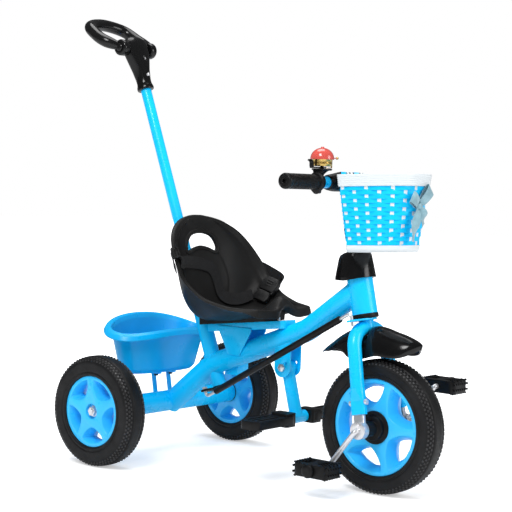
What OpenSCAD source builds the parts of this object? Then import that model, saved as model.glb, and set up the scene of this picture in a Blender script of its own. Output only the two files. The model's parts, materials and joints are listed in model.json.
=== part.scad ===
// Toddler push-along trike: a welded steel tricycle with a pedalled front wheel, a moulded
// bucket seat, a rear tub, a front basket and a parent's push bar that steers the fork by a link rod.
// Millimetres. X points forward, Y to the rider's left and Z up; the wheels stand on Z = 0.

/* [Wheels] */
// Distance between the front and rear axles
wheelbase = 531; // [500:1:560]
// Distance between the centre planes of the rear wheels
track = 418; // [400:1:450]
// Diameter of the front wheel over its tyre
front_wheel_d = 250; // [240:1:256]
// Diameter of a rear wheel over its tyre
rear_wheel_d = 218; // [206:1:226]
// Width of the front tyre
front_tyre_w = 54; // [48:1:58]
// Width of a rear tyre
rear_tyre_w = 52; // [46:1:58]
// Diameter of the front rim's face
front_rim_d = 180; // [164:1:190]
// Diameter of a rear rim's face
rear_rim_d = 140; // [130:1:160]
// Depth of a rim's face inside the side of its tyre
rim_inset = 4; // [2:0.5:7]
// Number of spokes in each rim
spokes = 5; // [4:1:6]
// Diameter of the rear axle rod
rear_axle_d = 10; // [8:0.5:12]

/* [Frame] */
// Diameter of the main tube
main_tube_d = 44; // [38:1:48]
// Diameter of the rear cross tube
cross_tube_d = 43; // [40:1:48]
// Wall of the frame tubes
tube_wall = 2; // [1.5:0.1:3]
// Rise of the main tube's rear run, in degrees
rear_run_rise = 39.5; // [36:0.5:42]
// Rise of the main tube's front run, in degrees
front_run_rise = 36.5; // [32:0.5:40]
// Distance from the rear axle forward to the knee of the main tube
knee_x = 113; // [105:1:120]
// Distance from the main tube's front end back to its front bend
front_run_len = 122; // [110:1:135]

/* [Steering] */
// Backward lean of the steering axis, in degrees
head_lean = 12.8; // [10:0.1:15]
// Diameter of the head tube
head_tube_d = 48; // [44:1:52]
// Length of the head tube
head_tube_len = 72; // [66:1:78]
// Distance along the steering axis from the front axle to the head tube
head_rise = 210; // [206:1:216]
// Diameter of the fork's steerer
steerer_d = 28; // [26:0.5:30]
// Diameter of the fork tube
fork_tube_d = 26; // [24:0.5:28]
// Half the distance between the lower ends of the fork legs
fork_foot_y = 65; // [62:0.5:68]
// Outward splay of each fork leg, in degrees
fork_splay = 7.4; // [6:0.1:9]
// Diameter of the handlebar
bar_d = 22; // [20:0.5:24]
// Length of the handlebar between the grip ends
bar_len = 376; // [356:2:396]
// Distance along the steering axis from the front axle to the handlebar
bar_rise = 459; // [450:1:470]
// Length of a grip
grip_len = 100; // [92:1:106]

/* [Drive] */
// Diameter of the crank rod
crank_d = 10; // [9:0.5:11]
// Length of each crank arm
crank_len = 92; // [80:1:95]
// Angle of the right crank arm at rest, from straight forward, in degrees
crank_angle = 232; // [210:1:240]
// Width of a pedal along its spindle
pedal_w = 55; // [50:1:64]
// Depth of a pedal across its spindle
pedal_depth = 74; // [64:1:80]
// Thickness of a pedal
pedal_t = 24; // [20:1:28]

/* [Push bar] */
// Backward lean of the push bar, in degrees
push_lean = 20.9; // [19:0.1:22]
// Diameter of the push bar
push_bar_d = 22; // [20:0.5:24]
// Distance forward from the rear axle to where the push bar crosses the main tube
push_foot_x = 117; // [114:1:122]
// Diameter of the push bar's socket tube
push_socket_d = 32; // [30:0.5:35]
// Length of the socket tube above the main tube's centre line
push_socket_len = 128; // [100:1:140]
// Distance along the push bar from the main tube to the handle's pivot
handle_rise = 692; // [640:1:720]
// Length of the handle loop from its pivot to the middle of its back bar
loop_len = 115; // [105:1:132]
// Width of the handle loop between the middles of its sides
loop_w = 136; // [124:1:146]
// Thickness of the handle loop
loop_d = 25; // [21:0.5:27]
// Rise of the handle loop behind its pivot, in degrees
loop_tilt = 29; // [10:1:40]

/* [Steering link] */
// Length of the arm on the fork, from the steering axis to the hook
arm_len = 45; // [43:0.5:49]
// Diameter of the link rod
link_d = 6; // [5:0.5:7]
// Diameter of the sleeve on the link rod
sleeve_d = 13; // [10:0.5:14]

/* [Seat] */
// Width of the seat at the hips
seat_w = 252; // [240:1:270]
// Depth of the seat from its back to its front edge
seat_depth = 238; // [225:1:250]
// Height of the seat from its underside to the top of its back
seat_h = 212; // [200:1:225]
// Thickness of the seat shell
seat_t = 5; // [4:0.5:6]
// Width of the harness webbing
strap_w = 32; // [28:1:38]

/* [Rear tub] */
// Length of the tub across the trike, over its crest
tub_len = 256; // [220:1:270]
// Width of the tub along the trike, over its crest
tub_w = 112; // [100:1:120]
// Height of the tub from its floor to the middle of its crest
tub_h = 106; // [90:1:115]
// Wall of the tub
tub_wall = 3; // [2.5:0.25:4]

/* [Basket] */
// Width of the basket across its rim
basket_w = 172; // [150:1:190]
// Depth of the basket along its rim
basket_depth = 138; // [125:1:150]
// Height of the basket
basket_h = 142; // [125:1:160]
// Wall of the basket's woven sides
basket_wall_t = 3; // [2.5:0.25:4]

/* [Footrest] */
// Distance from the footrest's pivot to its cross bar
footrest_len = 98; // [88:1:104]
// Forward lean of the footrest's strut, in degrees
footrest_lean = 15; // [12:1:28]
// Half the span over both foot pegs
peg_reach = 150; // [130:1:160]

/* [Fits] */
// Radial clearance of a running fit
running_fit = 0.05; // [0.03:0.01:0.09]
// Gap between parts that move past one another
face_gap = 0.5; // [0.4:0.1:0.8]

/* [Hidden] */
$fn = 64;
overrun = 2;
facing = 0.02;

front_r = front_wheel_d / 2;
rear_r = rear_wheel_d / 2;
front_rim_w = front_tyre_w - 2 * rim_inset;
rear_rim_w = rear_tyre_w - 2 * rim_inset;
tyre_shoulder_share = 0.22;
tyre_fit = 0.2;
tread_groove_w = 2.5;
tread_groove_t = 2;

rim_lip = 7;
spoke_w = 18;
window_draft_share = 0.62;
arch_power_share = 1.35;
front_hub_r = 31;
front_hub_plug_r = 22;
front_hub_flange_t = 3;
front_hub_step_r = 23;
front_hub_nose_r = 14;
front_hub_step_len = 9;
rear_hub_r = 25;
rear_hub_recess_r = 15;
rear_hub_recess_t = 9;
web_gap = 6;
washer_r = 11;
washer_t = 2;
nut_r = 9.5;
nut_t = 6;
axle_tip = 2;
plug_depth = 16;
plug_flange_lap = 0.5;

main_start_drop = 6;
main_bend_r = 116;
bend_lap = 0.5;
bend_swell = 0.05;
main_plug_len = 46;
main_end_share = 0.67;

cup_t = 8.5;
cup_lap = 1;
head_wall = 3;
bush_len = 12;
crown_drop = 26;
fork_bend_r = 40;
fork_wall = 2.5;
fork_foot_s = 28;
fork_flat_len = 26;
fork_taper_len = 22;
fork_flat_w = 30;
fork_flat_t = 14;
tang_w = 20;
tang_t = 9;
tang_len = 44;
tang_fit = 0.2;
hanger_r = 16;
hanger_w = 15;
hanger_out = 79;
hanger_bolt_d = 5;
hanger_bolt_s = 22;
bolt_head_r = 5.5;
bolt_head_t = 4;
steerer_wall = 2.3;
steerer_top = 26;
arm_t = 3.5;
arm_hub_r = 21;
arm_eye_r = 10;
hook_play = 2.2;
stem_d = 22.8;
stem_foot = 40;

cover_foot_front = 29;
cover_foot_rear = 51;
cover_foot_side = 34;
cover_top_r = 25;
cover_h = 47;
cover_lap = 6;
cover_wall = 2.5;
pad_half_len = 43;
pad_r = 19;
pad_end_r = 14;
grip_d = 29;
grip_flange_d = 37;
grip_flange_t = 6;
grip_end_t = 6;
grip_hole_r = 4;
bell_y = 76;
bell_clamp_w = 13;
bell_clamp_r = 16;
bell_table_r = 19;
bell_table_t = 3;
bell_table_rise = 22;
bell_post_r = 3;
bell_lever_t = 2.5;
bell_cup_r = 18;
bell_cup_h = 13;
bell_cup_wall = 1.5;
bell_dome_r = 22;
bell_dome_h = 21;
bell_brim_t = 2;
bell_thumb_r = 24.5;
bell_thumb_d = 6;
bell_tip_r = 36;
bell_arm_w = 4;
bell_arm_t = 1.5;

guard_w = 68;
guard_t = 2.5;
guard_steps = 8;
crank_plane = 86;
crank_bend_r = 6.5;
spindle_cap_r = 8;
spindle_cap_t = 3;
pedal_gap = 7;
pedal_corner = 12;
pedal_barrel_r = 10;
pedal_rail = 13;
pedal_stud_gap = 4;
pedal_stud_t = 3;
pedal_studs = 5;

push_bore_play = 1.5;
barrel_d = 29;
barrel_len = 46;
bush_flange_t = 3;
lever_t = 4;
lever_gap = 6;
lever_hub_r = 19;
lever_eye_r = 9;
link_nut_r = 5.5;
link_nut_t = 4;
link_drop = 11;
hook_rise = 13;
hook_tail = 8;
link_bend_r = 6.5;
sleeve_end = 26;
neck_w = 64;
neck_t = 34;
neck_foot_d = 29;
neck_collar_d = 35;
neck_len = 131;
neck_bite = 48;
handle_pin_d = 8;
boss_r = 17;
boss_w = 17;
loop_bend_r = 58;
button_d = 7;
button_share = 0.49;
button_proud = 3;
button_stem = 6;

rail_w = 44;
rail_h = 15;
rail_t = 2.5;
rail_short = 42;
rail_front_reach = 11;
rail_front_z = 303;
rail_rise = 6.8;
bracket_top_half = 42;
bracket_foot_half = 15;
bracket_x = 188;
bracket_t = 3;
stop_w = 34;
stop_len = 30;
stop_h = 25;
stop_x = 164;
stop_z = 180;
seat_bolt_d = 6;
seat_gap = 0.3;

seat_back_x = 61;
seat_lip_r = 5;
seat_boss_r = 13;
seat_boss_gap = 1.6;
seat_hole_w = 98;
seat_hole_h = 43;
seat_hole_top = 33;
strap_t = 2;
strap_gap = 5.5;
left_strap_gap = 3.2;

tub_x = -41;
tub_floor_z = 168;
tub_foot_w_share = 0.76;
tub_foot_len_share = 0.8;
tub_lip = 13;
tub_lip_drop = 10;
tub_rear_rise = 12;
tub_side_drop = 16;
tub_corner = 8;
tub_power_share = 0.86;
tub_points = 40;
leg_x = -33;
leg_y = 22;
leg_w = 10;
leg_t = 4;
leg_tab = 20;
leg_foot_z = 112;
tub_screw_r = 4;
tub_screw_len = 12;

basket_out = 34;
basket_drop = 127.6;
basket_y = -4;
basket_tilt = 2.5;
basket_rim_h = 22;
basket_base_h = 13;
basket_rim_t = 5;
basket_floor_t = 3;
basket_foot_w_share = 0.68;
basket_foot_depth_share = 0.84;
basket_foot_shift = 8;
basket_corner = 16;
basket_power_share = 0.78;
bracket_collar_r = 16;
bracket_collar_h = 24;
bracket_collar_drop = 109;
bracket_plate_w = 60;
bracket_plate_h = 46;
bracket_plate_t = 4;
bow_reach = 139.1;
bow_y = -14;
bow_rise = 90;
bow_turn = 0;
bow_loop_w = 30;
bow_loop_h = 22;
bow_loop_t = 8;
bow_knot_r = 6.5;
bow_knot_t = 12;
bow_tail_w = 18;
bow_tail_t = 2;
bow_tail_len = 66;

pivot_x = 306;
pivot_z = 211;
ear_gap = 29;
ear_t = 3.5;
ear_r = 19;
ear_hole_r = 3;
ear_hole_reach = 19;
pivot_d = 8;
strut_d = 25;
strut_wall = 2.5;
cross_bar_d = 24;
cross_bar_half = 24;
peg_w = 46;
peg_t = 16;
peg_block_t = 26;
peg_block_len = 30;
peg_spindle_d = 9;
peg_spindle_reach = 112;
peg_corner = 16;
peg_slot_w = 5;
peg_slot_len = 62;
peg_inner = 26;

// Paint and plastic colours
paint = [0.0, 0.62, 0.95];
tub_blue = [0.0, 0.55, 0.86];
rim_blue = [0.25, 0.7, 0.98];
weave_blue = [0.0, 0.78, 1.0];
black = [0.1, 0.1, 0.1];
steel = [0.78, 0.78, 0.8];

// Where the main tube runs, in the plane of the trike
rear_slope = tan(rear_run_rise);
front_slope = tan(front_run_rise);
head_slope = tan(head_lean);
main_start = [0, 0, rear_r - main_start_drop];
main_knee = [knee_x, 0, main_start.z + knee_x * rear_slope];
main_end_s = head_rise + head_tube_len * main_end_share;
main_end = [wheelbase - main_end_s * sin(head_lean), 0, front_r + main_end_s * cos(head_lean)];
main_elbow = main_end - front_run_len * [1, 0, front_slope];
mid_slope = (main_elbow.z - main_knee.z) / (main_elbow.x - knee_x);
mid_run_rise = atan(mid_slope);
main_path = [main_start, main_knee, main_elbow, main_end];
push_foot_z = main_knee.z + (push_foot_x - knee_x) * mid_slope;

// Where the origin lies: the middle of the whole trike's footprint
handle_pivot_x = push_foot_x - handle_rise * sin(push_lean);
rear_tip_x = handle_pivot_x - loop_len * cos(loop_tilt) - loop_d / 2;
rear_axle_x = -(wheelbase + front_r + rear_tip_x) / 2;

// Stations along the steering axis, measured from the front axle
crown_s = head_rise - crown_drop;
cup_s = head_rise - cup_t;
arm_s = cup_s - face_gap - arm_t;
head_top_s = head_rise + head_tube_len;
fork_corner_y = fork_foot_y - (crown_s - fork_foot_s) * tan(fork_splay);
cover_s = head_top_s - cover_lap;
bar_x = wheelbase - bar_rise * sin(head_lean);
bar_z = front_r + bar_rise * cos(head_lean);
bracket_collar_s = bar_rise - bracket_collar_drop;
basket_back_x = bar_x + basket_out;
basket_floor_z = bar_z - basket_drop;
bow_x = basket_back_x + bow_reach;
bow_z = basket_floor_z + bow_rise;
rail_len = seat_depth - rail_short;
rail_front_x = seat_back_x + seat_depth + rail_front_reach;

// Both steering arms swing the link by the same distance along the trike
lever_len = arm_len * cos(head_lean) / cos(push_lean);
lever_t_pos = -barrel_len - bush_flange_t - face_gap - lever_t;
link_rear = [
  push_foot_x - (lever_t_pos - link_drop) * sin(push_lean),
  -lever_len,
  push_foot_z + (lever_t_pos - link_drop) * cos(push_lean)
];
link_front = [
  wheelbase - (arm_s + arm_t + hook_rise) * sin(head_lean),
  -arm_len,
  front_r + (arm_s + arm_t + hook_rise) * cos(head_lean)
];

// Vectors and placing

function unit(v) = v / norm(v);
function mix(a, b, share) = a + (b - a) * share;
function power(v, p) = sign(v) * pow(abs(v), p);

module from_rear_axle() {
  translate([rear_axle_x, 0, 0]) children();
}

module on_steering_axis() {
  from_rear_axle() translate([wheelbase, 0, front_r]) rotate([0, -head_lean, 0]) children();
}

module on_push_axis() {
  from_rear_axle() translate([push_foot_x, 0, push_foot_z]) rotate([0, -push_lean, 0]) children();
}

module on_rear_axle(side) {
  from_rear_axle() translate([0, side * track / 2, rear_r]) rotate([-90 * side, 0, 0]) children();
}

module on_front_axle() {
  from_rear_axle() translate([wheelbase, 0, front_r]) rotate([-90, 0, 0]) children();
}

module along_y() {
  rotate([-90, 0, 0]) children();
}

module both_sides() {
  children();
  mirror([0, 1, 0]) children();
}

module frame_at(o, x, z) {
  y = cross(z, x);
  multmatrix([
    [x.x, y.x, z.x, o.x],
    [x.y, y.y, z.y, o.y],
    [x.z, y.z, z.z, o.z],
    [0, 0, 0, 1]
  ]) children();
}

// Bent tubes: straight runs joined by round elbows

module tube_section(d, bore) {
  difference() {
    circle(d = d);
    if (bore > 0) circle(d = bore);
  }
}

function across(dir) = abs(dir.y) < 0.9 ? unit(cross([0, 1, 0], dir)) : unit(cross([1, 0, 0], dir));

module run(a, b, d, bore = 0) {
  dir = unit(b - a);
  frame_at(a, across(dir), dir) linear_extrude(norm(b - a)) tube_section(d, bore);
}

// Each run and elbow is drawn in the frame that the one before it ends in; a run laps into its elbows,
// which are a little thicker

function leg_dir(path, i) = unit(path[i + 1] - path[i]);
function turn_axis(path, i) = unit(cross(leg_dir(path, i - 1), leg_dir(path, i)));
function turn_at(path, i) = acos(leg_dir(path, i - 1) * leg_dir(path, i));
function trim_at(path, i, r) = i == 0 || i == len(path) - 1 ? 0 : r * tan(turn_at(path, i) / 2);
function leg_len(path, i, r) = norm(path[i + 1] - path[i]) - trim_at(path, i, r) - trim_at(path, i + 1, r);
function roll_at(path, i) =
  let (a = turn_axis(path, i), b = turn_axis(path, i + 1))
  atan2(cross(a, b) * leg_dir(path, i), a * b);

module tube_leg(path, r, d, i) {
  reach = leg_len(path, i, r);
  before = i == 0 ? 0 : bend_lap;
  after = i == len(path) - 2 ? 0 : bend_lap;
  translate([-before, 0, 0]) rotate([0, 90, 0]) cylinder(d = d, h = before + reach + after);
  if (i < len(path) - 2) translate([reach, r, 0]) {
    turn = turn_at(path, i + 1);
    rotate(-90) rotate_extrude(angle = turn) translate([r, 0]) circle(d = d + 2 * bend_swell);
    rotate(turn) translate([0, -r, 0]) rotate([i < len(path) - 3 ? roll_at(path, i + 1) : 0, 0, 0])
      tube_leg(path, r, d, i + 1);
  }
}

module bent_tube(path, r, d) {
  frame_at(path[0], leg_dir(path, 0), turn_axis(path, 1)) tube_leg(path, r, d, 0);
}

// Lofted skins: rings of points, closed by flat ends or joined back to the first ring

function skin_faces(n, m, looped) = concat(
  looped ? [] : [[for (i = [0:n - 1]) i], [for (i = [n - 1:-1:0]) (m - 1) * n + i]],
  [
    for (j = [0:looped ? m - 1 : m - 2], i = [0:n - 1])
    let (k = (j + 1) % m, h = (i + 1) % n)
    each [[j * n + i, k * n + h, j * n + h], [j * n + i, k * n + i, k * n + h]]
  ]
);

module skin(rings, looped = false) {
  polyhedron(
    points = [for (ring = rings) each ring],
    faces = skin_faces(len(rings[0]), len(rings), looped)
  );
}

// Wheels, drawn about Z

module tyre(d, w, bore_d) {
  r = d / 2;
  shoulder = w * tyre_shoulder_share;
  wall_r = bore_d / 2 + tyre_fit;
  rotate_extrude() difference() {
    union() {
      translate([wall_r, -w / 2]) square([r - shoulder - wall_r, w]);
      translate([wall_r, shoulder - w / 2]) square([r - wall_r, w - 2 * shoulder]);
      for (side = [-1, 1]) translate([r - shoulder, side * (w / 2 - shoulder)]) circle(r = shoulder);
    }
    for (side = [-1, 1]) translate([r - tread_groove_t, side * (w / 2 - shoulder) - tread_groove_w / 2])
      square([tread_groove_t + overrun, tread_groove_w]);
  }
}

function window_outline(rim_r, hub_r) =
  let (
    r = rim_r - rim_lip,
    half = 180 / spokes - asin(spoke_w / 2 / r),
    apex = hub_r + web_gap,
    corner = [r * cos(half), r * sin(half)]
  )
  concat(
    [
      for (a = [-90:15:90])
      [corner.x - (corner.x - apex) * power(cos(a), arch_power_share), corner.y * power(sin(a), arch_power_share)]
    ],
    [for (share = [0.5:-0.5:-0.5]) [r * cos(half * share), r * sin(half * share)]]
  );

module rim_window(rim_r, hub_r, w) {
  outline = window_outline(rim_r, hub_r);
  middle = [mix(hub_r, rim_r, 0.5), 0];
  reach = w / 2 + overrun;
  opening = 1 / window_draft_share;
  for (face = [0, 1]) mirror([0, 0, face]) translate([middle.x, middle.y, 0])
    linear_extrude(reach, scale = 1 + (opening - 1) * reach / (w / 2))
      scale(window_draft_share) translate(-middle) polygon(outline);
}

module rim(d, w, hub_r) {
  difference() {
    cylinder(d = d, h = w, center = true);
    for (i = [0:spokes - 1]) rotate((i + 0.5) * 360 / spokes) rim_window(d / 2, hub_r, w);
  }
}

module rear_tyre(side) {
  on_rear_axle(side) tyre(rear_wheel_d, rear_tyre_w, rear_rim_d);
}

module rear_rim(side) {
  on_rear_axle(side) difference() {
    rotate(side * -23) rim(rear_rim_d, rear_rim_w, rear_hub_r);
    cylinder(d = rear_axle_d + 2 * running_fit, h = rear_rim_w + 2 * overrun, center = true);
    translate([0, 0, rear_rim_w / 2 - rear_hub_recess_t])
      cylinder(r = rear_hub_recess_r, h = rear_hub_recess_t + overrun);
  }
}

module front_tyre() {
  color(black) on_front_axle() tyre(front_wheel_d, front_tyre_w, front_rim_d);
}

module front_rim() {
  color(rim_blue) on_front_axle() difference() {
    rim(front_rim_d, front_rim_w, front_hub_r);
    cylinder(r = front_hub_plug_r, h = front_rim_w + 2 * overrun, center = true);
  }
}

module front_hub() {
  half = front_rim_w / 2;
  bore_r = crank_d / 2 + running_fit;
  nose_end = fork_foot_y - tang_t / 2 - face_gap;
  color(black) on_front_axle() for (face = [0, 1]) mirror([0, 0, face]) rotate_extrude() polygon([
    [bore_r, facing],
    [front_hub_plug_r - running_fit, facing],
    [front_hub_plug_r - running_fit, half + facing],
    [front_hub_r, half + facing],
    [front_hub_r, half + front_hub_flange_t],
    [front_hub_step_r, half + front_hub_flange_t],
    [front_hub_step_r, half + front_hub_flange_t + front_hub_step_len],
    [front_hub_nose_r, half + front_hub_flange_t + front_hub_step_len],
    [front_hub_nose_r, nose_end],
    [bore_r, nose_end]
  ]);
}

module rear_axle() {
  color(steel) from_rear_axle() translate([0, 0, rear_r]) along_y()
    cylinder(d = rear_axle_d, h = track + rear_rim_w + 2 * axle_tip, center = true);
}

module axle_end_plugs() {
  inner = track / 2 - rear_rim_w / 2 - face_gap;
  tube_half = rear_cross_half();
  color(black) from_rear_axle() translate([0, 0, rear_r]) both_sides() along_y() difference() {
    union() {
      translate([0, 0, tube_half - plug_depth])
        cylinder(d = cross_tube_d - 2 * tube_wall - 2 * running_fit, h = plug_depth + facing);
      translate([0, 0, tube_half + facing])
        cylinder(d = cross_tube_d + 2 * plug_flange_lap, h = inner - tube_half - facing);
    }
    cylinder(d = rear_axle_d + 2 * running_fit, h = track);
  }
}

module axle_nuts() {
  seat_z = track / 2 + rear_rim_w / 2 - rear_hub_recess_t + face_gap;
  color(steel) from_rear_axle() translate([0, 0, rear_r]) both_sides() along_y()
    translate([0, 0, seat_z]) difference() {
      union() {
        cylinder(r = washer_r, h = washer_t);
        translate([0, 0, washer_t]) cylinder(r = nut_r, h = nut_t, $fn = 6);
      }
      translate([0, 0, -overrun])
        cylinder(d = rear_axle_d + 2 * running_fit, h = washer_t + nut_t + 2 * overrun);
    }
}

// Welded frame

function rear_cross_half() = track / 2 - rear_rim_w / 2 - face_gap - plug_flange();
function plug_flange() = washer_t + face_gap;

module rear_cross_tube() {
  color(paint) from_rear_axle() translate([0, 0, rear_r]) along_y()
    linear_extrude(2 * rear_cross_half(), center = true)
      tube_section(cross_tube_d, cross_tube_d - 2 * tube_wall);
}

module main_tube() {
  bore_start = main_start + unit(main_knee - main_start) * main_plug_len;
  bore_path = [bore_start, main_knee, main_elbow, main_end];
  color(paint) difference() {
    from_rear_axle() bent_tube(main_path, main_bend_r, main_tube_d);
    from_rear_axle() bent_tube(bore_path, main_bend_r, main_tube_d - 2 * tube_wall);
    from_rear_axle() translate([0, 0, rear_r]) along_y()
      cylinder(d = cross_tube_d, h = track, center = true);
    on_steering_axis() translate([0, 0, head_rise - overrun])
      cylinder(d = head_tube_d, h = head_tube_len + 2 * overrun);
    on_push_axis() cylinder(d = push_bar_d + 2 * push_bore_play, h = 2 * main_tube_d, center = true);
  }
}

module head_tube() {
  color(paint) on_steering_axis() translate([0, 0, head_rise])
    linear_extrude(head_tube_len) tube_section(head_tube_d, head_tube_d - 2 * head_wall);
}

module lower_head_cup() {
  color(black) on_steering_axis() translate([0, 0, cup_s])
    linear_extrude(cup_t - facing)
      tube_section(head_tube_d + 2 * cup_lap, steerer_d + 2 * face_gap);
}

module push_socket() {
  bore = push_bar_d + 2 * push_bore_play;
  color(paint) difference() {
    on_push_axis() {
      linear_extrude(push_socket_len) tube_section(push_socket_d, bore);
      translate([0, 0, -barrel_len]) linear_extrude(barrel_len) tube_section(barrel_d, bore);
    }
    from_rear_axle() bent_tube(main_path, main_bend_r, main_tube_d);
  }
}

module plain_bush(outer_d, inner_d, len, flange_d) {
  difference() {
    union() {
      translate([0, 0, -len]) cylinder(d = outer_d - 2 * running_fit, h = len + facing);
      translate([0, 0, facing]) cylinder(d = flange_d, h = bush_flange_t);
    }
    translate([0, 0, -len - overrun]) cylinder(d = inner_d + 2 * running_fit, h = len + bush_flange_t + 2 * overrun);
  }
}

module steering_bushes() {
  push_bore = push_bar_d + 2 * push_bore_play;
  head_bore = head_tube_d - 2 * head_wall;
  color(black) {
    on_push_axis() {
      translate([0, 0, push_socket_len]) plain_bush(push_bore, push_bar_d, bush_len, push_socket_d);
      translate([0, 0, -barrel_len]) mirror([0, 0, 1])
        plain_bush(push_bore, push_bar_d, bush_len, barrel_d);
    }
    on_steering_axis() {
      translate([0, 0, head_top_s]) plain_bush(head_bore, steerer_d, bush_len, head_tube_d - head_wall);
      translate([0, 0, head_rise]) linear_extrude(bush_len)
        tube_section(head_bore - 2 * running_fit, steerer_d + 2 * running_fit);
    }
  }
}

module on_rail() {
  from_rear_axle() translate([rail_front_x, 0, rail_front_z]) rotate([0, -rail_rise, 0]) children();
}

module seat_rail() {
  color(paint) difference() {
    on_rail() difference() {
      union() {
        translate([-rail_len, -rail_w / 2, -rail_h]) cube([rail_len - rail_w / 4, rail_w, rail_h]);
        for (side = [-1, 1]) translate([-rail_w / 4, side * rail_w / 4, -rail_h])
          cylinder(r = rail_w / 4, h = rail_h);
        translate([-rail_w / 4, -rail_w / 4, -rail_h]) cube([rail_w / 4, rail_w / 2, rail_h]);
      }
      translate([-rail_len - overrun, rail_t - rail_w / 2, -rail_h - overrun])
        cube([rail_len + overrun - rail_w / 4, rail_w - 2 * rail_t, rail_h + overrun - rail_t]);
      for (place = seat_bolt_places()) translate([place, 0, -rail_h])
        cylinder(d = seat_bolt_d + 2 * running_fit, h = rail_h + overrun);
    }
    from_rear_axle() bent_tube(main_path, main_bend_r, main_tube_d);
  }
}

seat_bolt_shares = [0.15, 0.5, 0.82];
function seat_bolt_places() = [for (share = seat_bolt_shares) -rail_len * share];

module seat_bracket() {
  top_z = rail_front_z - (rail_front_x - bracket_x) * tan(rail_rise) - rail_h / cos(rail_rise);
  foot_z = main_knee.z + (bracket_x - knee_x) * mid_slope;
  color(paint) from_rear_axle() {
    both_sides() translate([bracket_x, main_tube_d / 2 + facing + bracket_t, foot_z])
      rotate([90, 0, 0]) linear_extrude(bracket_t) polygon([
        [-bracket_foot_half, 0],
        [bracket_foot_half, 0],
        [bracket_top_half, top_z - foot_z],
        [bracket_top_half, top_z - foot_z + rail_h / 2],
        [-bracket_top_half, top_z - foot_z + rail_h / 2],
        [-bracket_top_half, top_z - foot_z]
      ]);
    difference() {
      translate([stop_x - stop_len / 2, 0, stop_z]) cube([stop_len, stop_w, stop_h]);
      bent_tube(main_path, main_bend_r, main_tube_d);
    }
  }
}

module seat_bolts() {
  color(steel) on_rail() for (place = seat_bolt_places()) translate([place, 0, 0]) {
    translate([0, 0, -rail_t - bolt_head_t]) cylinder(r = bolt_head_r, h = bolt_head_t - facing, $fn = 6);
    translate([0, 0, -rail_t - overrun]) cylinder(d = seat_bolt_d, h = rail_t + overrun + seat_bolt_bite);
  }
}

// Moulded seat: rows of centre line, edge line and pommel, from the front edge to the top of the back.
// Shares of the seat's depth, height and half width, measured from the bottom of the back.

seat_rows_share = [
  [1.000, 0.176, 0.958, 0.630, 0.190, 0.060],
  [0.975, 0.168, 0.905, 0.705, 0.190, 0.110],
  [0.915, 0.150, 0.840, 0.770, 0.192, 0.140],
  [0.800, 0.106, 0.725, 0.850, 0.204, 0.080],
  [0.590, 0.056, 0.550, 0.940, 0.258, 0.000],
  [0.400, 0.034, 0.440, 0.980, 0.336, 0.000],
  [0.265, 0.030, 0.358, 1.000, 0.416, 0.000],
  [0.190, 0.080, 0.308, 0.998, 0.500, 0.000],
  [0.150, 0.175, 0.260, 0.965, 0.585, 0.000],
  [0.118, 0.300, 0.204, 0.915, 0.680, 0.000],
  [0.088, 0.430, 0.155, 0.845, 0.765, 0.000],
  [0.064, 0.560, 0.114, 0.745, 0.836, 0.000],
  [0.045, 0.690, 0.080, 0.625, 0.888, 0.000],
  [0.028, 0.820, 0.050, 0.480, 0.932, 0.000],
  [0.014, 0.905, 0.026, 0.330, 0.960, 0.000],
  [0.000, 0.970, 0.004, 0.170, 0.978, 0.000]
];
seat_foot_z = 286;
seat_pan_share = 2.7;
seat_wing_share = 0.9;
seat_pommel_half = 40;
seat_columns = 10;
seat_fill = 2;
seat_bolt_bite = 7;

function spline(a, b, c, d, t) =
  (2 * b + (c - a) * t + (2 * a - 5 * b + 4 * c - d) * t * t + (3 * b - a - 3 * c + d) * t * t * t) / 2;

function seat_row(v) =
  let (last = len(seat_rows_share) - 1, i = min(floor(v), last - 1), t = v - i)
  spline(
    seat_rows_share[max(i - 1, 0)], seat_rows_share[i],
    seat_rows_share[i + 1], seat_rows_share[min(i + 2, last)], t
  );

function seat_at(v, u) =
  let (
    row = seat_row(v),
    lift = pow(abs(u), seat_pan_share),
    y = row[3] * seat_w / 2 * power(u, seat_wing_share),
    near = max(0, 1 - pow(y / seat_pommel_half, 2))
  )
  [
    seat_back_x + seat_depth * mix(row[0], row[2], lift),
    y,
    seat_foot_z + seat_h * (mix(row[1], row[4], lift) + row[5] * near * near)
  ];

function clamp_row(v) = min(max(v, 0), len(seat_rows_share) - 1);

function seat_normal(v, u) =
  let (
    dv = seat_at(clamp_row(v + 0.1), u) - seat_at(clamp_row(v - 0.1), u),
    du = seat_at(v, min(u + 0.02, 1)) - seat_at(v, max(u - 0.02, -1))
  )
  unit(cross(du, dv));

seat_grid = [
  for (j = [0:(len(seat_rows_share) - 1) * seat_fill])
  [for (i = [-seat_columns:seat_columns]) [j / seat_fill, i / seat_columns]]
];

function rim_of(m, n) = concat(
  [for (i = [0:n - 1]) [0, i]],
  [for (j = [1:m - 1]) [j, n - 1]],
  [for (i = [n - 2:-1:0]) [m - 1, i]],
  [for (j = [m - 2:-1:1]) [j, 0]]
);

// A sheet between two grids of points, closed along its edge by bands of points

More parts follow.
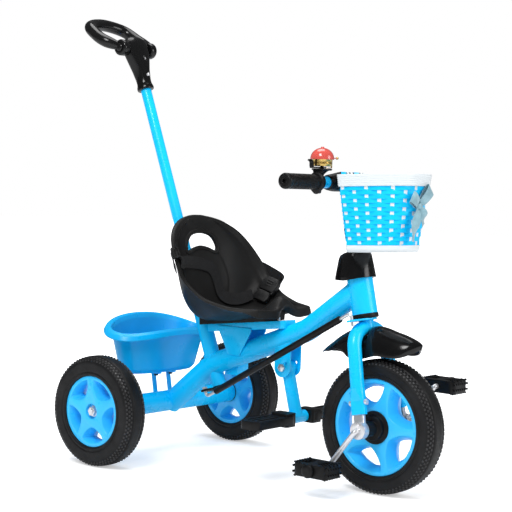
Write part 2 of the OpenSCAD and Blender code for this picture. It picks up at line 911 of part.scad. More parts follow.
module thick_sheet(top, bottom, bands) {
  m = len(top);
  n = len(top[0]);
  rim = rim_of(m, n);
  count = len(rim);
  top_points = [for (row = top) each row];
  bottom_points = [for (row = bottom) each row];
  band_start = 2 * m * n;
  steps = len(bands);
  function at(b, i) =
    b == 0 ? rim[i % count][0] * n + rim[i % count][1]
    : b > steps ? m * n + rim[i % count][0] * n + rim[i % count][1]
    : band_start + (b - 1) * count + i % count;
  polyhedron(
    points = concat(top_points, bottom_points, [for (band = bands) each band]),
    faces = concat(
      [
        for (j = [0:m - 2], i = [0:n - 2])
        let (a = j * n + i, b = a + 1, c = a + n, d = c + 1)
        each [[a, b, d], [a, d, c]]
      ],
      [
        for (j = [0:m - 2], i = [0:n - 2])
        let (a = m * n + j * n + i, b = a + 1, c = a + n, d = c + 1)
        each [[a, d, b], [a, c, d]]
      ],
      [
        for (b = [0:steps], i = [0:count - 1])
        each [[at(b, i), at(b + 1, i), at(b + 1, i + 1)], [at(b, i), at(b + 1, i + 1), at(b, i + 1)]]
      ]
    )
  );
}

// The rolled edge: how far out and how far down each band lies, in radii of the roll
seat_roll_shares = [[0.75, 0.1], [1.15, 0.7], [1.05, 1.4], [0.5, 1.9]];

function seat_edge_out(v, u, j, i, m, n) =
  let (
    back = j == 0 ? seat_at(v, u) - seat_at(v + 0.3, u)
      : j == m - 1 ? seat_at(v, u) - seat_at(v - 0.3, u) : [0, 0, 0],
    side = i == 0 ? seat_at(v, u) - seat_at(v, u + 0.05)
      : i == n - 1 ? seat_at(v, u) - seat_at(v, u - 0.05) : [0, 0, 0]
  )
  unit((norm(back) > 0 ? unit(back) : back) + (norm(side) > 0 ? unit(side) : side));

module seat_sheet() {
  m = len(seat_grid);
  n = len(seat_grid[0]);
  rim = rim_of(m, n);
  top = [for (row = seat_grid) [for (at = row) seat_at(at[0], at[1])]];
  bottom = [for (row = seat_grid) [for (at = row) seat_at(at[0], at[1]) - seat_t * seat_normal(at[0], at[1])]];
  bands = [
    for (k = [len(seat_roll_shares) - 1:-1:0]) [
      for (place = rim)
      let (at = seat_grid[place[0]][place[1]], share = seat_roll_shares[k])
      seat_at(at[0], at[1])
        + seat_lip_r * share[0] * seat_edge_out(at[0], at[1], place[0], place[1], m, n)
        - seat_lip_r * share[1] * seat_normal(at[0], at[1])
    ]
  ];
  thick_sheet(bottom, top, bands);
}

// The hand hole in the seat's back: shares of its half width and height
seat_hole_share = [
  [-1.0, -0.25], [-0.93, -0.46], [-0.78, -0.5], [-0.45, -0.36], [0.0, -0.27], [0.45, -0.36], [0.78, -0.5],
  [0.93, -0.46], [1.0, -0.25], [0.9, 0.08], [0.68, 0.36], [0.36, 0.5], [0.0, 0.54], [-0.36, 0.5],
  [-0.68, 0.36], [-0.9, 0.08]
];

module seat_shell() {
  hole_z = seat_foot_z + seat_h - seat_hole_top - seat_hole_h / 2;
  color(black) difference() {
    union() {
      from_rear_axle() seat_sheet();
      on_rail() for (place = seat_bolt_places()) translate([place, 0, facing])
        cylinder(r = seat_boss_r, h = seat_boss_h(place), $fn = 32);
    }
    from_rear_axle() translate([seat_back_x - seat_t * 4, 0, hole_z]) rotate([90, 0, 90])
      linear_extrude(seat_depth / 3)
        polygon([for (p = seat_hole_share) [p[0] * seat_hole_w / 2, p[1] * seat_hole_h]]);
    on_rail() for (place = seat_bolt_places()) translate([place, 0, -overrun])
      cylinder(d = seat_bolt_d + 2 * running_fit, h = seat_bolt_bite + overrun + running_fit, $fn = 32);
  }
}

// Each fixing boss ends just under the lowest part of the seat above it
function seat_low_z(x) =
  min([for (reach = [-seat_boss_r, 0, seat_boss_r], edge = [0, seat_boss_r]) seat_line_z(x + reach, edge)]);
function seat_line_z(x, y) =
  let (near = 1 - pow(y / seat_pommel_half, 2))
  lookup(x, [
    for (i = [len(seat_rows_share) - 1:-1:0])
    let (row = seat_rows_share[i])
    [seat_back_x + seat_depth * row[0], seat_foot_z + seat_h * (row[1] + row[5] * near * near)]
  ]);
function seat_boss_h(place) =
  seat_low_z(rail_front_x + place * cos(rail_rise)) - seat_boss_gap
    - rail_front_z - place * sin(rail_rise);

// Webbing: rows of [place, direction across, direction of the face]

module ribbon(rows, w, t) {
  skin([
    for (row = rows)
    let (p = row[0], b = row[1] * w / 2, f = row[2] * t / 2)
    [p - b - f, p + b - f, p + b + f, p - b + f]
  ]);
}

function path_rows(path, faces) = [
  for (i = [0:len(path) - 1])
  let (
    along = unit(path[min(i + 1, len(path) - 1)] - path[max(i - 1, 0)]),
    b = unit(cross(faces[i], along))
  )
  [path[i], b, cross(along, b)]
];

// The lap belt's line over the seat: row and share of the half width
belt_right_share = [
  [8.4, -1.0], [8.3, -0.9], [8.1, -0.75], [7.8, -0.55], [7.4, -0.36], [7.0, -0.18], [6.6, 0.0],
  [6.3, 0.18], [6.0, 0.34], [5.8, 0.46], [5.65, 0.56]
];
belt_left_share = [
  [8.4, 1.0], [8.2, 0.93], [7.8, 0.9], [7.4, 0.89]
];

function on_seat(v, u, lift) = seat_at(v, u) + seat_normal(v, u) * lift;

function belt_row(v, u, lift) = [on_seat(v, u, lift), seat_normal(v, u)];

function belt_edge(side, out, drop) =
  let (
    v = 8.4,
    u = side,
    dir = unit(seat_at(v, u) - seat_at(v, u * 0.95)),
    n = seat_normal(v, u)
  )
  seat_at(v, u) + dir * out - n * drop;

module belt_half(shares, side, gap) {
  lift = gap + strap_t / 2;
  reach = seat_lip_r + seat_lip_r / 2 + lift;
  inside = [for (s = shares) on_seat(s[0], s[1], lift)];
  n = seat_normal(8.4, side);
  dir = unit(seat_at(8.4, side) - seat_at(8.4, side * 0.95));
  round_edge = [
    belt_edge(side, reach, seat_lip_r * 2 + lift * 2),
    belt_edge(side, reach + lift, seat_lip_r),
    belt_edge(side, reach, -lift / 2)
  ];
  faces = concat([dir - n, dir, dir + n], [for (s = shares) seat_normal(s[0], s[1])]);
  ribbon(path_rows(concat(round_edge, inside), [for (f = faces) unit(f)]), strap_w, strap_t);
}

module harness_straps() {
  color([0.12, 0.12, 0.13]) from_rear_axle() {
    belt_half(belt_right_share, -1, strap_gap);
    belt_half(belt_left_share, 1, left_strap_gap);
  }
}

module rounded_outline(w, h, r) {
  square([w - 2 * r, h], center = true);
  square([w, h - 2 * r], center = true);
  for (x = [-1, 1], y = [-1, 1]) translate([x * (w / 2 - r), y * (h / 2 - r)]) circle(r = r);
}

buckle_len = 58;
buckle_w = 40;
buckle_t = 12;
buckle_corner = 8;
buckle_row = 5;
buckle_share = 0.9;
buckle_lift = 11.3;

module buckle() {
  n = seat_normal(buckle_row, buckle_share);
  along = unit(cross([0, 0, 1], cross(n, [0, 1, 0])));
  side = unit(cross(n, along));
  color(black) from_rear_axle()
    frame_at(on_seat(buckle_row, buckle_share, buckle_lift), side, n) {
      translate([0, 0, -buckle_t / 2]) linear_extrude(buckle_t)
        rounded_outline(buckle_w, buckle_len, buckle_corner);
    }
}

// Rear tub

function tub_ring(half_w, half_len, z, tilt) = [
  for (i = [0:tub_points - 1])
  let (
    a = i * 360 / tub_points,
    x = half_w * power(cos(a), tub_power_share),
    y = half_len * power(sin(a), tub_power_share),
    lean = -x * tub_rear_rise * 2 / tub_w - tub_side_drop * pow(2 * y / tub_len, 2)
  )
  [tub_x + x, y, tub_floor_z + z + tilt * lean]
];

module rear_tub() {
  half_w = tub_w / 2;
  half_len = tub_len / 2;
  foot_w = half_w * tub_foot_w_share;
  foot_len = half_len * tub_foot_len_share;
  color(tub_blue) from_rear_axle() difference() {
    skin([
      tub_ring(foot_w - tub_corner, foot_len - tub_corner, 0, 0),
      tub_ring(foot_w - tub_corner * 0.3, foot_len - tub_corner * 0.3, tub_corner * 0.3, 0),
      tub_ring(foot_w, foot_len, tub_corner, 0),
      tub_ring(half_w - tub_wall, half_len - tub_wall, tub_h - tub_lip_drop, 1),
      tub_ring(half_w, half_len, tub_h - tub_wall, 1),
      tub_ring(half_w + tub_lip * 0.6, half_len + tub_lip * 0.6, tub_h - tub_wall - tub_lip_drop * 0.3, 1),
      tub_ring(half_w + tub_lip - tub_wall / 2, half_len + tub_lip - tub_wall / 2, tub_h - tub_lip_drop - tub_wall, 1),
      tub_ring(half_w + tub_lip, half_len + tub_lip, tub_h - tub_lip_drop, 1),
      tub_ring(half_w + tub_lip * 0.7, half_len + tub_lip * 0.7, tub_h - tub_lip_drop * 0.25, 1),
      tub_ring(half_w + tub_wall / 3, half_len + tub_wall / 3, tub_h, 1),
      tub_ring(half_w - tub_wall, half_len - tub_wall, tub_h - tub_wall / 2, 1),
      tub_ring(half_w - 2 * tub_wall, half_len - 2 * tub_wall, tub_h - tub_lip_drop, 1),
      tub_ring(foot_w - tub_wall, foot_len - tub_wall, tub_wall + tub_corner, 0),
      tub_ring(foot_w - tub_wall - tub_corner * 0.3, foot_len - tub_wall - tub_corner * 0.3, tub_wall + tub_corner * 0.3, 0),
      tub_ring(foot_w - tub_wall - tub_corner, foot_len - tub_wall - tub_corner, tub_wall, 0)
    ]);
    both_sides() translate([leg_x + leg_tab / 2, leg_y, tub_floor_z - overrun])
      cylinder(r = tub_screw_r / 2 + running_fit, h = tub_wall / 2 + overrun, $fn = 24);
  }
}

module tub_legs() {
  top = tub_floor_z - facing;
  color(paint) difference() {
    from_rear_axle() both_sides() translate([0, leg_y + leg_w / 2, 0]) rotate([90, 0, 0])
      linear_extrude(leg_w) polygon([
        [-cross_tube_d / 2 - leg_t, leg_foot_z - leg_w],
        [-cross_tube_d / 4, leg_foot_z - leg_w],
        [-cross_tube_d / 4, leg_foot_z + leg_w],
        [-cross_tube_d / 2, leg_foot_z + leg_w],
        [leg_x + leg_t, top - leg_t],
        [leg_x + leg_tab, top - leg_t],
        [leg_x + leg_tab, top],
        [leg_x, top],
        [leg_x, top - leg_t],
        [-cross_tube_d / 2 - leg_t, leg_foot_z + leg_w]
      ]);
    from_rear_axle() translate([0, 0, rear_r]) along_y() cylinder(d = cross_tube_d, h = track, center = true);
    from_rear_axle() both_sides() translate([leg_x + leg_tab / 2, leg_y, tub_floor_z - leg_w])
      cylinder(r = tub_screw_r / 2 + running_fit, h = leg_w + overrun);
  }
}

module tub_screws() {
  color(black) from_rear_axle() both_sides()
    translate([leg_x + leg_tab / 2, leg_y, tub_floor_z - 2 * facing - leg_t]) {
      translate([0, 0, -tub_screw_r]) cylinder(r = tub_screw_r, h = tub_screw_r);
      translate([0, 0, -facing]) cylinder(r = tub_screw_r / 2, h = leg_t + tub_wall / 2);
    }
}

// Footrest

module on_footrest() {
  from_rear_axle() translate([pivot_x, 0, pivot_z]) rotate([0, 180 - footrest_lean, 0]) children();
}

module footrest_bracket() {
  tube_z = main_knee.z + (pivot_x - knee_x) * mid_slope;
  color(paint) difference() {
    from_rear_axle() both_sides() translate([pivot_x, ear_gap / 2 + ear_t, pivot_z]) rotate([90, 0, 0])
      linear_extrude(ear_t) difference() {
        union() {
          circle(r = ear_r);
          translate([-ear_r, 0]) square([2 * ear_r, tube_z - pivot_z]);
        }
        circle(d = pivot_d + 2 * running_fit);
        translate([ear_hole_reach * cos(mid_run_rise) / 2, ear_hole_reach * cos(mid_run_rise) / 2])
          circle(r = ear_hole_r);
      }
    from_rear_axle() bent_tube(main_path, main_bend_r, main_tube_d);
  }
}

module footrest_bolt() {
  half = ear_gap / 2 + ear_t;
  color(steel) from_rear_axle() translate([pivot_x, 0, pivot_z]) along_y() {
    cylinder(d = pivot_d, h = 2 * half + 2 * overrun, center = true);
    for (face = [0, 1]) mirror([0, 0, face]) translate([0, 0, half + facing])
      cylinder(r = pivot_d, h = bolt_head_t, $fn = 6);
  }
}

module footrest_strut() {
  color(paint) on_footrest() difference() {
    union() {
      linear_extrude(footrest_len) tube_section(strut_d, strut_d - 2 * strut_wall);
      along_y() cylinder(d = strut_d, h = ear_gap - 2 * face_gap, center = true);
      translate([0, 0, footrest_len]) along_y() {
        cylinder(d = cross_bar_d, h = 2 * cross_bar_half, center = true);
        cylinder(d = peg_spindle_d, h = 2 * peg_spindle_reach, center = true);
      }
    }
    along_y() cylinder(d = pivot_d + 2 * running_fit, h = 2 * ear_gap, center = true);
  }
}

module footrest_pegs() {
  len = peg_reach - peg_inner;
  color(black) on_footrest() translate([0, 0, footrest_len]) rotate([0, 180 + footrest_lean, 0]) both_sides() difference() {
    union() {
      translate([0, peg_inner + len / 2, -peg_t / 2]) linear_extrude(peg_t) difference() {
        rounded_outline(peg_w, len, peg_corner);
        for (slot = [-1, 0, 1]) translate([slot * peg_w / 4, peg_block_len / 2])
          rounded_outline(peg_slot_w, peg_slot_len, peg_slot_w * 0.45);
      }
      translate([0, peg_inner + peg_block_len / 2, -peg_block_t / 2]) linear_extrude(peg_block_t)
        rounded_outline(peg_w - peg_slot_w, peg_block_len, peg_slot_w);
      translate([0, peg_inner, 0]) along_y() cylinder(d = peg_t, h = peg_spindle_reach - peg_inner);
    }
    along_y() cylinder(d = peg_spindle_d + 2 * running_fit, h = peg_spindle_reach + facing);
  }
}

// Fork and steering

fork_dir = unit([0, fork_corner_y - fork_foot_y, crown_s - fork_foot_s]);
fork_foot = [0, fork_foot_y, fork_foot_s];
fork_leg_top = fork_foot + fork_dir * (fork_flat_len + fork_taper_len - bend_lap);
fork_path = [
  fork_leg_top,
  [0, fork_corner_y, crown_s],
  [0, -fork_corner_y, crown_s],
  [0, -fork_leg_top.y, fork_leg_top.z]
];

module on_fork_foot() {
  frame_at(fork_foot, [1, 0, 0], fork_dir) children();
}

module fork() {
  color(paint) on_steering_axis() difference() {
    union() {
      bent_tube(fork_path, fork_bend_r, fork_tube_d);
      both_sides() on_fork_foot() difference() {
        union() {
          linear_extrude(fork_flat_len) rounded_outline(fork_flat_w, fork_flat_t, fork_flat_t / 3);
          hull() {
            translate([0, 0, fork_flat_len - overrun]) linear_extrude(facing)
              rounded_outline(fork_flat_w - 2 * tang_fit, fork_flat_t - 2 * tang_fit, fork_flat_t / 4, $fn = 24);
            translate([0, 0, fork_flat_len + fork_taper_len])
              cylinder(d = fork_tube_d + 4 * tang_fit, h = facing, $fn = 32);
          }
        }
        translate([-tang_w / 2 - tang_fit, -tang_t / 2 - tang_fit, -overrun])
          cube([tang_w + 2 * tang_fit, tang_t + 2 * tang_fit, tang_len + overrun]);
        translate([0, 0, hanger_bolt_s]) rotate([0, 90, 0])
          cylinder(d = hanger_bolt_d + 2 * running_fit, h = 2 * fork_flat_w, center = true);
      }
    }
    translate([0, 0, crown_s - fork_tube_d])
      cylinder(d = hanger_bolt_d + 2 * running_fit, h = fork_tube_d);
  }
}

module axle_hangers() {
  color(steel) on_steering_axis() both_sides() difference() {
    union() {
      translate([0, hanger_out - hanger_w, 0]) along_y() cylinder(r = hanger_r, h = hanger_w);
      on_fork_foot() translate([-tang_w / 2, -tang_t / 2, hanger_r / 2 - fork_foot_s])
        cube([tang_w, tang_t, tang_len - tang_fit + fork_foot_s - hanger_r / 2]);
    }
    along_y() cylinder(d = crank_d + 2 * running_fit, h = 2 * hanger_out);
    on_fork_foot() translate([0, 0, hanger_bolt_s]) rotate([0, 90, 0])
      cylinder(d = hanger_bolt_d + 2 * running_fit, h = 2 * fork_flat_w, center = true);
  }
}

module fork_bolts() {
  reach = fork_flat_w / 2 + facing;
  guard_s = crown_s - fork_tube_d / 2 - guard_gap - guard_t;
  color(steel) on_steering_axis() {
    both_sides() on_fork_foot() translate([0, 0, hanger_bolt_s]) rotate([0, 90, 0]) {
      cylinder(d = hanger_bolt_d, h = 2 * reach + 2 * overrun, center = true);
      translate([0, 0, reach]) cylinder(r = bolt_head_r, h = bolt_head_t);
      translate([0, 0, -reach - bolt_head_t]) cylinder(r = bolt_head_r, h = bolt_head_t, $fn = 6);
    }
    translate([0, 0, guard_s - bolt_head_t - 3 * face_gap]) cylinder(r = bolt_head_r, h = bolt_head_t, $fn = 6);
    translate([0, 0, guard_s - bolt_head_t]) cylinder(d = hanger_bolt_d, h = crown_s - guard_s);
  }
}

module steerer() {
  color(paint) on_steering_axis() difference() {
    translate([0, 0, crown_s]) cylinder(d = steerer_d, h = head_top_s + steerer_top - crown_s);
    translate([0, 0, crown_s]) along_y() cylinder(d = fork_tube_d, h = 2 * fork_foot_y, center = true);
    translate([0, 0, head_rise + bush_len])
      cylinder(d = steerer_d - 2 * steerer_wall, h = head_tube_len + steerer_top);
  }
}

lever_waist_share = 0.96;

module lever(reach, hub, eye, t, bore, eye_bore) {
  lean = asin((hub - eye) / reach);
  side = [cos(lean), -sin(lean)] * lever_waist_share;
  difference() {
    union() {
      cylinder(r = hub, h = t);
      translate([0, -reach, 0]) cylinder(r = eye, h = t);
      linear_extrude(t) polygon([
        [hub * side.x, hub * side.y],
        [eye * side.x, eye * side.y - reach],
        [-eye * side.x, eye * side.y - reach],
        [-hub * side.x, hub * side.y]
      ]);
    }
    translate([0, 0, -overrun]) cylinder(d = bore, h = t + 2 * overrun);
    translate([0, -reach, -overrun]) cylinder(d = eye_bore, h = t + 2 * overrun);
  }
}

module steering_arm() {
  color(paint) on_steering_axis() translate([0, 0, arm_s])
    lever(arm_len, arm_hub_r, arm_eye_r, arm_t, steerer_d + 2 * running_fit, link_d + 2 * hook_play);
}

// Mudguard: angle about the front axle, then the ridge, the lower edge and the half width,
// as shares of the front wheel's radius and of the guard's half width.
guard_rows_share = [
  [62.5, 1.425, 1.330, 0.08],
  [64.0, 1.428, 1.262, 0.45],
  [67.0, 1.430, 1.180, 0.78],
  [71.0, 1.430, 1.122, 0.93],
  [76.0, 1.431, 1.088, 0.98],
  [82.0, 1.436, 1.072, 1.00],
  [88.0, 1.462, 1.064, 1.00],
  [93.0, 1.482, 1.048, 1.00],
  [96.5, 1.478, 1.034, 1.00],
  [98.0, 1.462, 1.028, 1.00],
  [99.6, 1.388, 1.024, 1.00],
  [101.0, 1.368, 1.022, 1.00],
  [102.8, 1.361, 1.024, 1.00],
  [104.6, 1.368, 1.032, 1.00],
  [106.0, 1.388, 1.040, 1.00],
  [107.6, 1.462, 1.050, 1.00],
  [109.2, 1.492, 1.062, 1.00],
  [113.0, 1.502, 1.082, 1.00],
  [116.0, 1.500, 1.120, 1.00],
  [118.0, 1.496, 1.200, 0.97],
  [122.0, 1.490, 1.262, 0.90],
  [126.0, 1.484, 1.310, 0.78],
  [131.0, 1.488, 1.390, 0.58],
  [137.0, 1.500, 1.470, 0.28]
];
guard_gap = 0.8;

function guard_point(row, a) =
  let (
    r = front_r * mix(row[2], row[1], cos(a)),
    y = guard_w / 2 * row[3] * sin(a)
  )
  [r * cos(row[0]), y, r * sin(row[0])];

function grid_normal(grid, j, i) =
  let (
    m = len(grid) - 1,
    n = len(grid[0]) - 1,
    dj = grid[min(j + 1, m)][i] - grid[max(j - 1, 0)][i],
    di = grid[j][min(i + 1, n)] - grid[j][max(i - 1, 0)]
  )
  unit(cross(dj, di));

module mudguard() {
  grid = [
    for (row = guard_rows_share)
    [for (i = [-guard_steps:guard_steps]) guard_point(row, i * 90 / guard_steps)]
  ];
  inner = [
    for (j = [0:len(grid) - 1])
    [for (i = [0:len(grid[0]) - 1]) grid[j][i] + guard_t * grid_normal(grid, j, i)]
  ];
  color(black) difference() {
    from_rear_axle() translate([wheelbase, 0, front_r]) thick_sheet(inner, grid, []);
    on_steering_axis() translate([0, 0, front_r])
      cylinder(d = hanger_bolt_d + 2 * running_fit, h = crown_s - front_r, $fn = 24);
  }
}

// Cowl over the top of the head tube

cover_points = 32;

function cover_ring(front, rear, side, s) = [
  for (i = [0:cover_points - 1])
  let (a = i * 360 / cover_points)
  [(cos(a) > 0 ? front : rear) * cos(a), side * sin(a), s]
];

function round_ring(r, s) = cover_ring(r, r, r, s);

module head_cover() {
  clear_r = head_tube_d / 2 + 3 * face_gap;
  hole_r = stem_d / 2 + running_fit;
  dome = cover_top_r - hole_r;
  color(black) on_steering_axis() translate([0, 0, cover_s]) skin([
    cover_ring(cover_foot_front, cover_foot_rear, cover_foot_side, 0),
    cover_ring(cover_foot_front, cover_foot_rear, cover_foot_side, cover_h * 0.12),
    cover_ring(mix(cover_foot_front, cover_top_r, 0.5), mix(cover_foot_rear, cover_top_r, 0.62), mix(cover_foot_side, cover_top_r, 0.5), cover_h * 0.45),
    round_ring(cover_top_r, cover_h * 0.8),
    round_ring(cover_top_r - dome * 0.12, cover_h * 0.91),
    round_ring(cover_top_r - dome * 0.45, cover_h * 0.98),
    round_ring(hole_r, cover_h),
    round_ring(hole_r, cover_h - 2 * cover_wall),
    round_ring(clear_r - cover_wall, cover_h - 4 * cover_wall),
    round_ring(clear_r, cover_lap + bush_flange_t + 2 * face_gap),
    round_ring(clear_r, 0)
  ], looped = true);
}

// Handlebar and what it carries

module on_bar() {
  on_steering_axis() translate([0, 0, bar_rise]) children();
}

module handlebar() {
  half = bar_len / 2 - grip_end_t - facing;
  stem_s = head_rise + stem_foot;
  color(paint) on_steering_axis() {
    translate([0, 0, stem_s]) cylinder(d = stem_d, h = bar_rise - stem_s);
    translate([0, 0, bar_rise]) along_y() cylinder(d = bar_d, h = 2 * half, center = true);
  }
}

module grip(side) {
  inner = bar_len / 2 - grip_len;
  color(black) on_bar() rotate([-90 * side, 0, 0]) translate([0, 0, inner]) difference() {
    union() {
      cylinder(d = grip_d, h = grip_len);
      cylinder(d = grip_flange_d, h = grip_flange_t);
    }
    translate([0, 0, -overrun]) cylinder(d = bar_d + 2 * running_fit, h = grip_len - grip_end_t + overrun);
    cylinder(r = grip_hole_r, h = grip_len + overrun);
  }
}

module grip_right() {
  grip(-1);
}

module grip_left() {
  grip(1);
}

pad_lift = 13;
pad_front = 12;
pad_ridge_r = 11;
pad_ridge_half = 32;

module bar_pad() {
  color(black) on_bar() difference() {
    union() {
      both_sides() along_y() rotate_extrude() polygon([
        [0, 0],
        [pad_r, 0],
        [pad_r, pad_half_len * 0.7],
        [mix(pad_r, pad_end_r, 0.4), pad_half_len * 0.88],
        [pad_end_r, pad_half_len],
        [0, pad_half_len]
      ]);
      translate([pad_front, 0, pad_lift]) {
        along_y() cylinder(r = pad_ridge_r, h = 2 * pad_ridge_half, center = true);
        both_sides() translate([0, pad_ridge_half, 0]) sphere(r = pad_ridge_r);
      }
    }
    along_y() cylinder(d = bar_d + 2 * running_fit, h = bar_len, center = true);
    translate([0, 0, -2 * pad_r]) cylinder(d = stem_d + 2 * running_fit, h = 2 * pad_r);
  }
}

// The bell stands upright on the bar

module on_bell() {
  on_bar() translate([0, -bell_y, 0]) rotate([0, head_lean, 0]) children();
}

bell_lever_z = bell_table_rise + bell_table_t + face_gap;
bell_cup_z = bell_lever_z + bell_lever_t + 4 * face_gap + bell_table_t;
bell_dome_z = bell_cup_z + bell_cup_h - bell_brim_t;

module bell_base() {
  color(black) on_bell() {
    difference() {
      union() {
        along_y() cylinder(r = bell_clamp_r, h = bell_clamp_w, center = true);
        cylinder(r = bell_clamp_w * 0.4, h = bell_table_rise + bell_brim_t);
        translate([0, 0, bell_table_rise]) cylinder(r = bell_table_r, h = bell_table_t);
      }
      along_y() cylinder(d = bar_d + 2 * running_fit, h = 2 * bell_clamp_w, center = true);
    }
    translate([0, 0, bell_table_rise]) cylinder(r = bell_post_r, h = bell_dome_z - bell_table_rise + bell_dome_r / 2);
  }
}

bell_lever_turn = -14;
bell_lever_hub_r = 8;

module bell_lever() {
  rise = bell_dome_z + bell_brim_t - bell_lever_z;
  color([0.75, 0.2, 0.18]) on_bell() rotate(bell_lever_turn) translate([0, 0, bell_lever_z]) difference() {
    union() {
      cylinder(r = bell_lever_hub_r, h = bell_lever_t);
      translate([-bell_arm_w / 2, -bell_thumb_r, 0]) cube([bell_arm_w, 2 * bell_thumb_r, bell_lever_t]);
      translate([0, -bell_thumb_r, 0]) cylinder(d = bell_thumb_d, h = bell_cup_h);
      translate([0, bell_thumb_r, 0]) cylinder(d = bell_arm_w, h = rise);
      translate([-bell_arm_w / 2, bell_thumb_r, rise - bell_arm_t])
        cube([bell_arm_w, bell_tip_r - bell_thumb_r, bell_arm_t]);
      translate([0, bell_tip_r, rise - bell_arm_w]) cylinder(d = bell_arm_w + bell_arm_t, h = bell_arm_w);
    }
    translate([0, 0, -overrun]) cylinder(r = bell_post_r + running_fit, h = bell_lever_t + 2 * overrun);
  }
}

module bell_cup() {
  color([0.72, 0.58, 0.28]) on_bell() translate([0, 0, bell_cup_z]) difference() {
    cylinder(r = bell_cup_r, h = bell_cup_h - bell_brim_t - facing);
    translate([0, 0, bell_cup_wall]) cylinder(r = bell_cup_r - bell_cup_wall, h = bell_cup_h);
    translate([0, 0, -overrun]) cylinder(r = bell_post_r + running_fit, h = bell_cup_h);
  }
}

module bell_dome() {
  color([0.86, 0.3, 0.27]) on_bell() translate([0, 0, bell_dome_z]) difference() {
    intersection() {
      sphere(r = bell_dome_r);
      cylinder(r = bell_dome_r + overrun, h = bell_dome_r + overrun);
    }
    difference() {
      sphere(r = bell_dome_r - bell_cup_wall);
      cylinder(r = 2 * bell_post_r, h = 2 * bell_dome_r);
    }
    translate([0, 0, -overrun]) cylinder(r = bell_post_r + running_fit, h = bell_dome_r / 2 + overrun + facing);
  }
}

// Basket: a D-shaped outline that widens from its base to its rim

basket_points = 48;

function basket_ring(share, inset, z) =
  let (
    half_w = basket_w / 2 * mix(basket_foot_w_share, 1, share) - inset,
    depth = basket_depth * mix(basket_foot_depth_share, 1, share) - 2 * inset,
    back = basket_back_x + basket_foot_shift * (1 - share) + inset,
    rear = basket_corner - inset
  )
  [
    for (i = [0:basket_points - 1])
    let (
      a = i * 360 / basket_points,
      x = back + rear + (cos(a) > 0 ? depth - rear : rear) * power(cos(a), basket_power_share)
    )
    [
      x,
      basket_y + half_w * power(sin(a), basket_power_share),
      basket_floor_z + z + (x - basket_back_x) * tan(basket_tilt)
    ]
  ];

function basket_band(share, inset) = basket_ring(share, inset, basket_h * share);

module basket_frame() {
  rim_share = 1 - basket_rim_h / basket_h;
  base_share = basket_base_h / basket_h;
  floor_share = basket_floor_t / basket_h;
  color([0.95, 0.95, 0.95]) from_rear_axle() {
    skin([
      basket_band(rim_share, -basket_floor_t / 2),
      basket_band(1, -basket_floor_t / 2),
      basket_band(1, basket_rim_t - basket_floor_t / 2),
      basket_band(rim_share, basket_rim_t - basket_floor_t / 2)
    ], looped = true);
    skin([
      basket_band(0, 0),
      basket_band(base_share, -basket_floor_t / 2),
      basket_band(base_share, basket_rim_t - basket_floor_t / 2),
      basket_band(floor_share, basket_rim_t)
    ]);
  }
}

module basket_wall() {
  foot_share = basket_base_h / basket_h + facing / basket_h;
  top_share = 1 - (basket_rim_h + facing) / basket_h;
  color(weave_blue) from_rear_axle() skin([
    basket_band(foot_share, 0),
    basket_band(top_share, 0),
    basket_band(top_share, basket_wall_t),
    basket_band(foot_share, basket_wall_t)
  ], looped = true);
}

module basket_bracket() {
  lean = atan(basket_foot_shift / basket_h);
  color(black) difference() {
    union() {
      on_steering_axis() translate([0, 0, bracket_collar_s])
        cylinder(r = bracket_collar_r, h = bracket_collar_h);
      from_rear_axle() translate([basket_back_x + basket_foot_shift - seat_gap, 0, basket_floor_z])
        rotate([0, -lean, 0])
        translate([-bracket_plate_t, -bracket_plate_w / 2, basket_base_h + face_gap])
          cube([bracket_plate_t, bracket_plate_w, bracket_plate_h]);
    }
    on_steering_axis() translate([0, 0, bracket_collar_s - basket_h])
      cylinder(d = stem_d + 2 * running_fit, h = 3 * basket_h);
  }
}

// Ribbon bow: two loops, two tails and a knot, in shares of the bow's own sizes

bow_loop_share = [
  [0.0, -0.12], [0.4, -0.34], [0.8, -0.48], [1.0, -0.28], [1.06, 0.05], [0.96, 0.36], [0.7, 0.5],
  [0.35, 0.34], [0.0, 0.12]
];
bow_loops_share = [[1.45, 40], [1.0, 146]];
bow_tails_share = [[0.62, -58], [1.0, -103]];

module ribbon_bow() {
  color([0.45, 0.62, 0.68]) from_rear_axle() translate([bow_x, bow_y, bow_z]) rotate([90, 0, 90 + bow_turn]) {
    translate([0, 0, -bow_knot_t / 2]) cylinder(r = bow_knot_r, h = bow_knot_t);
    for (b = bow_loops_share) rotate(b[1]) translate([0, 0, -bow_loop_t / 2]) linear_extrude(bow_loop_t)
      polygon([for (p = bow_loop_share) [p[0] * bow_loop_w * b[0], p[1] * bow_loop_h]]);
    for (b = bow_tails_share) rotate(b[1]) translate([0, -bow_tail_w / 2, -bow_tail_t / 2])
      cube([bow_tail_len * b[0], bow_tail_w, bow_tail_t]);
  }
}

// Crank and pedals

crank_arm = [cos(crank_angle), 0, sin(crank_angle)] * crank_len;
spindle_end = crank_plane + pedal_gap + pedal_w;
crank_path = [
  [crank_len, -spindle_end, 0],
  [crank_len, -crank_plane, 0],
  [0, -crank_plane, 0],
  [0, crank_plane, 0],
  [-crank_len, crank_plane, 0],
  [-crank_len, spindle_end, 0]
];

module crank() {
  color(steel) from_rear_axle() translate([wheelbase, 0, front_r]) rotate([0, -crank_angle, 0]) {
    bent_tube(crank_path, crank_bend_r, crank_d);
    translate(crank_path[0]) rotate([90, 0, 0]) cylinder(r = spindle_cap_r, h = spindle_cap_t);
    translate(crank_path[5]) along_y() cylinder(r = spindle_cap_r, h = spindle_cap_t);
  }
}

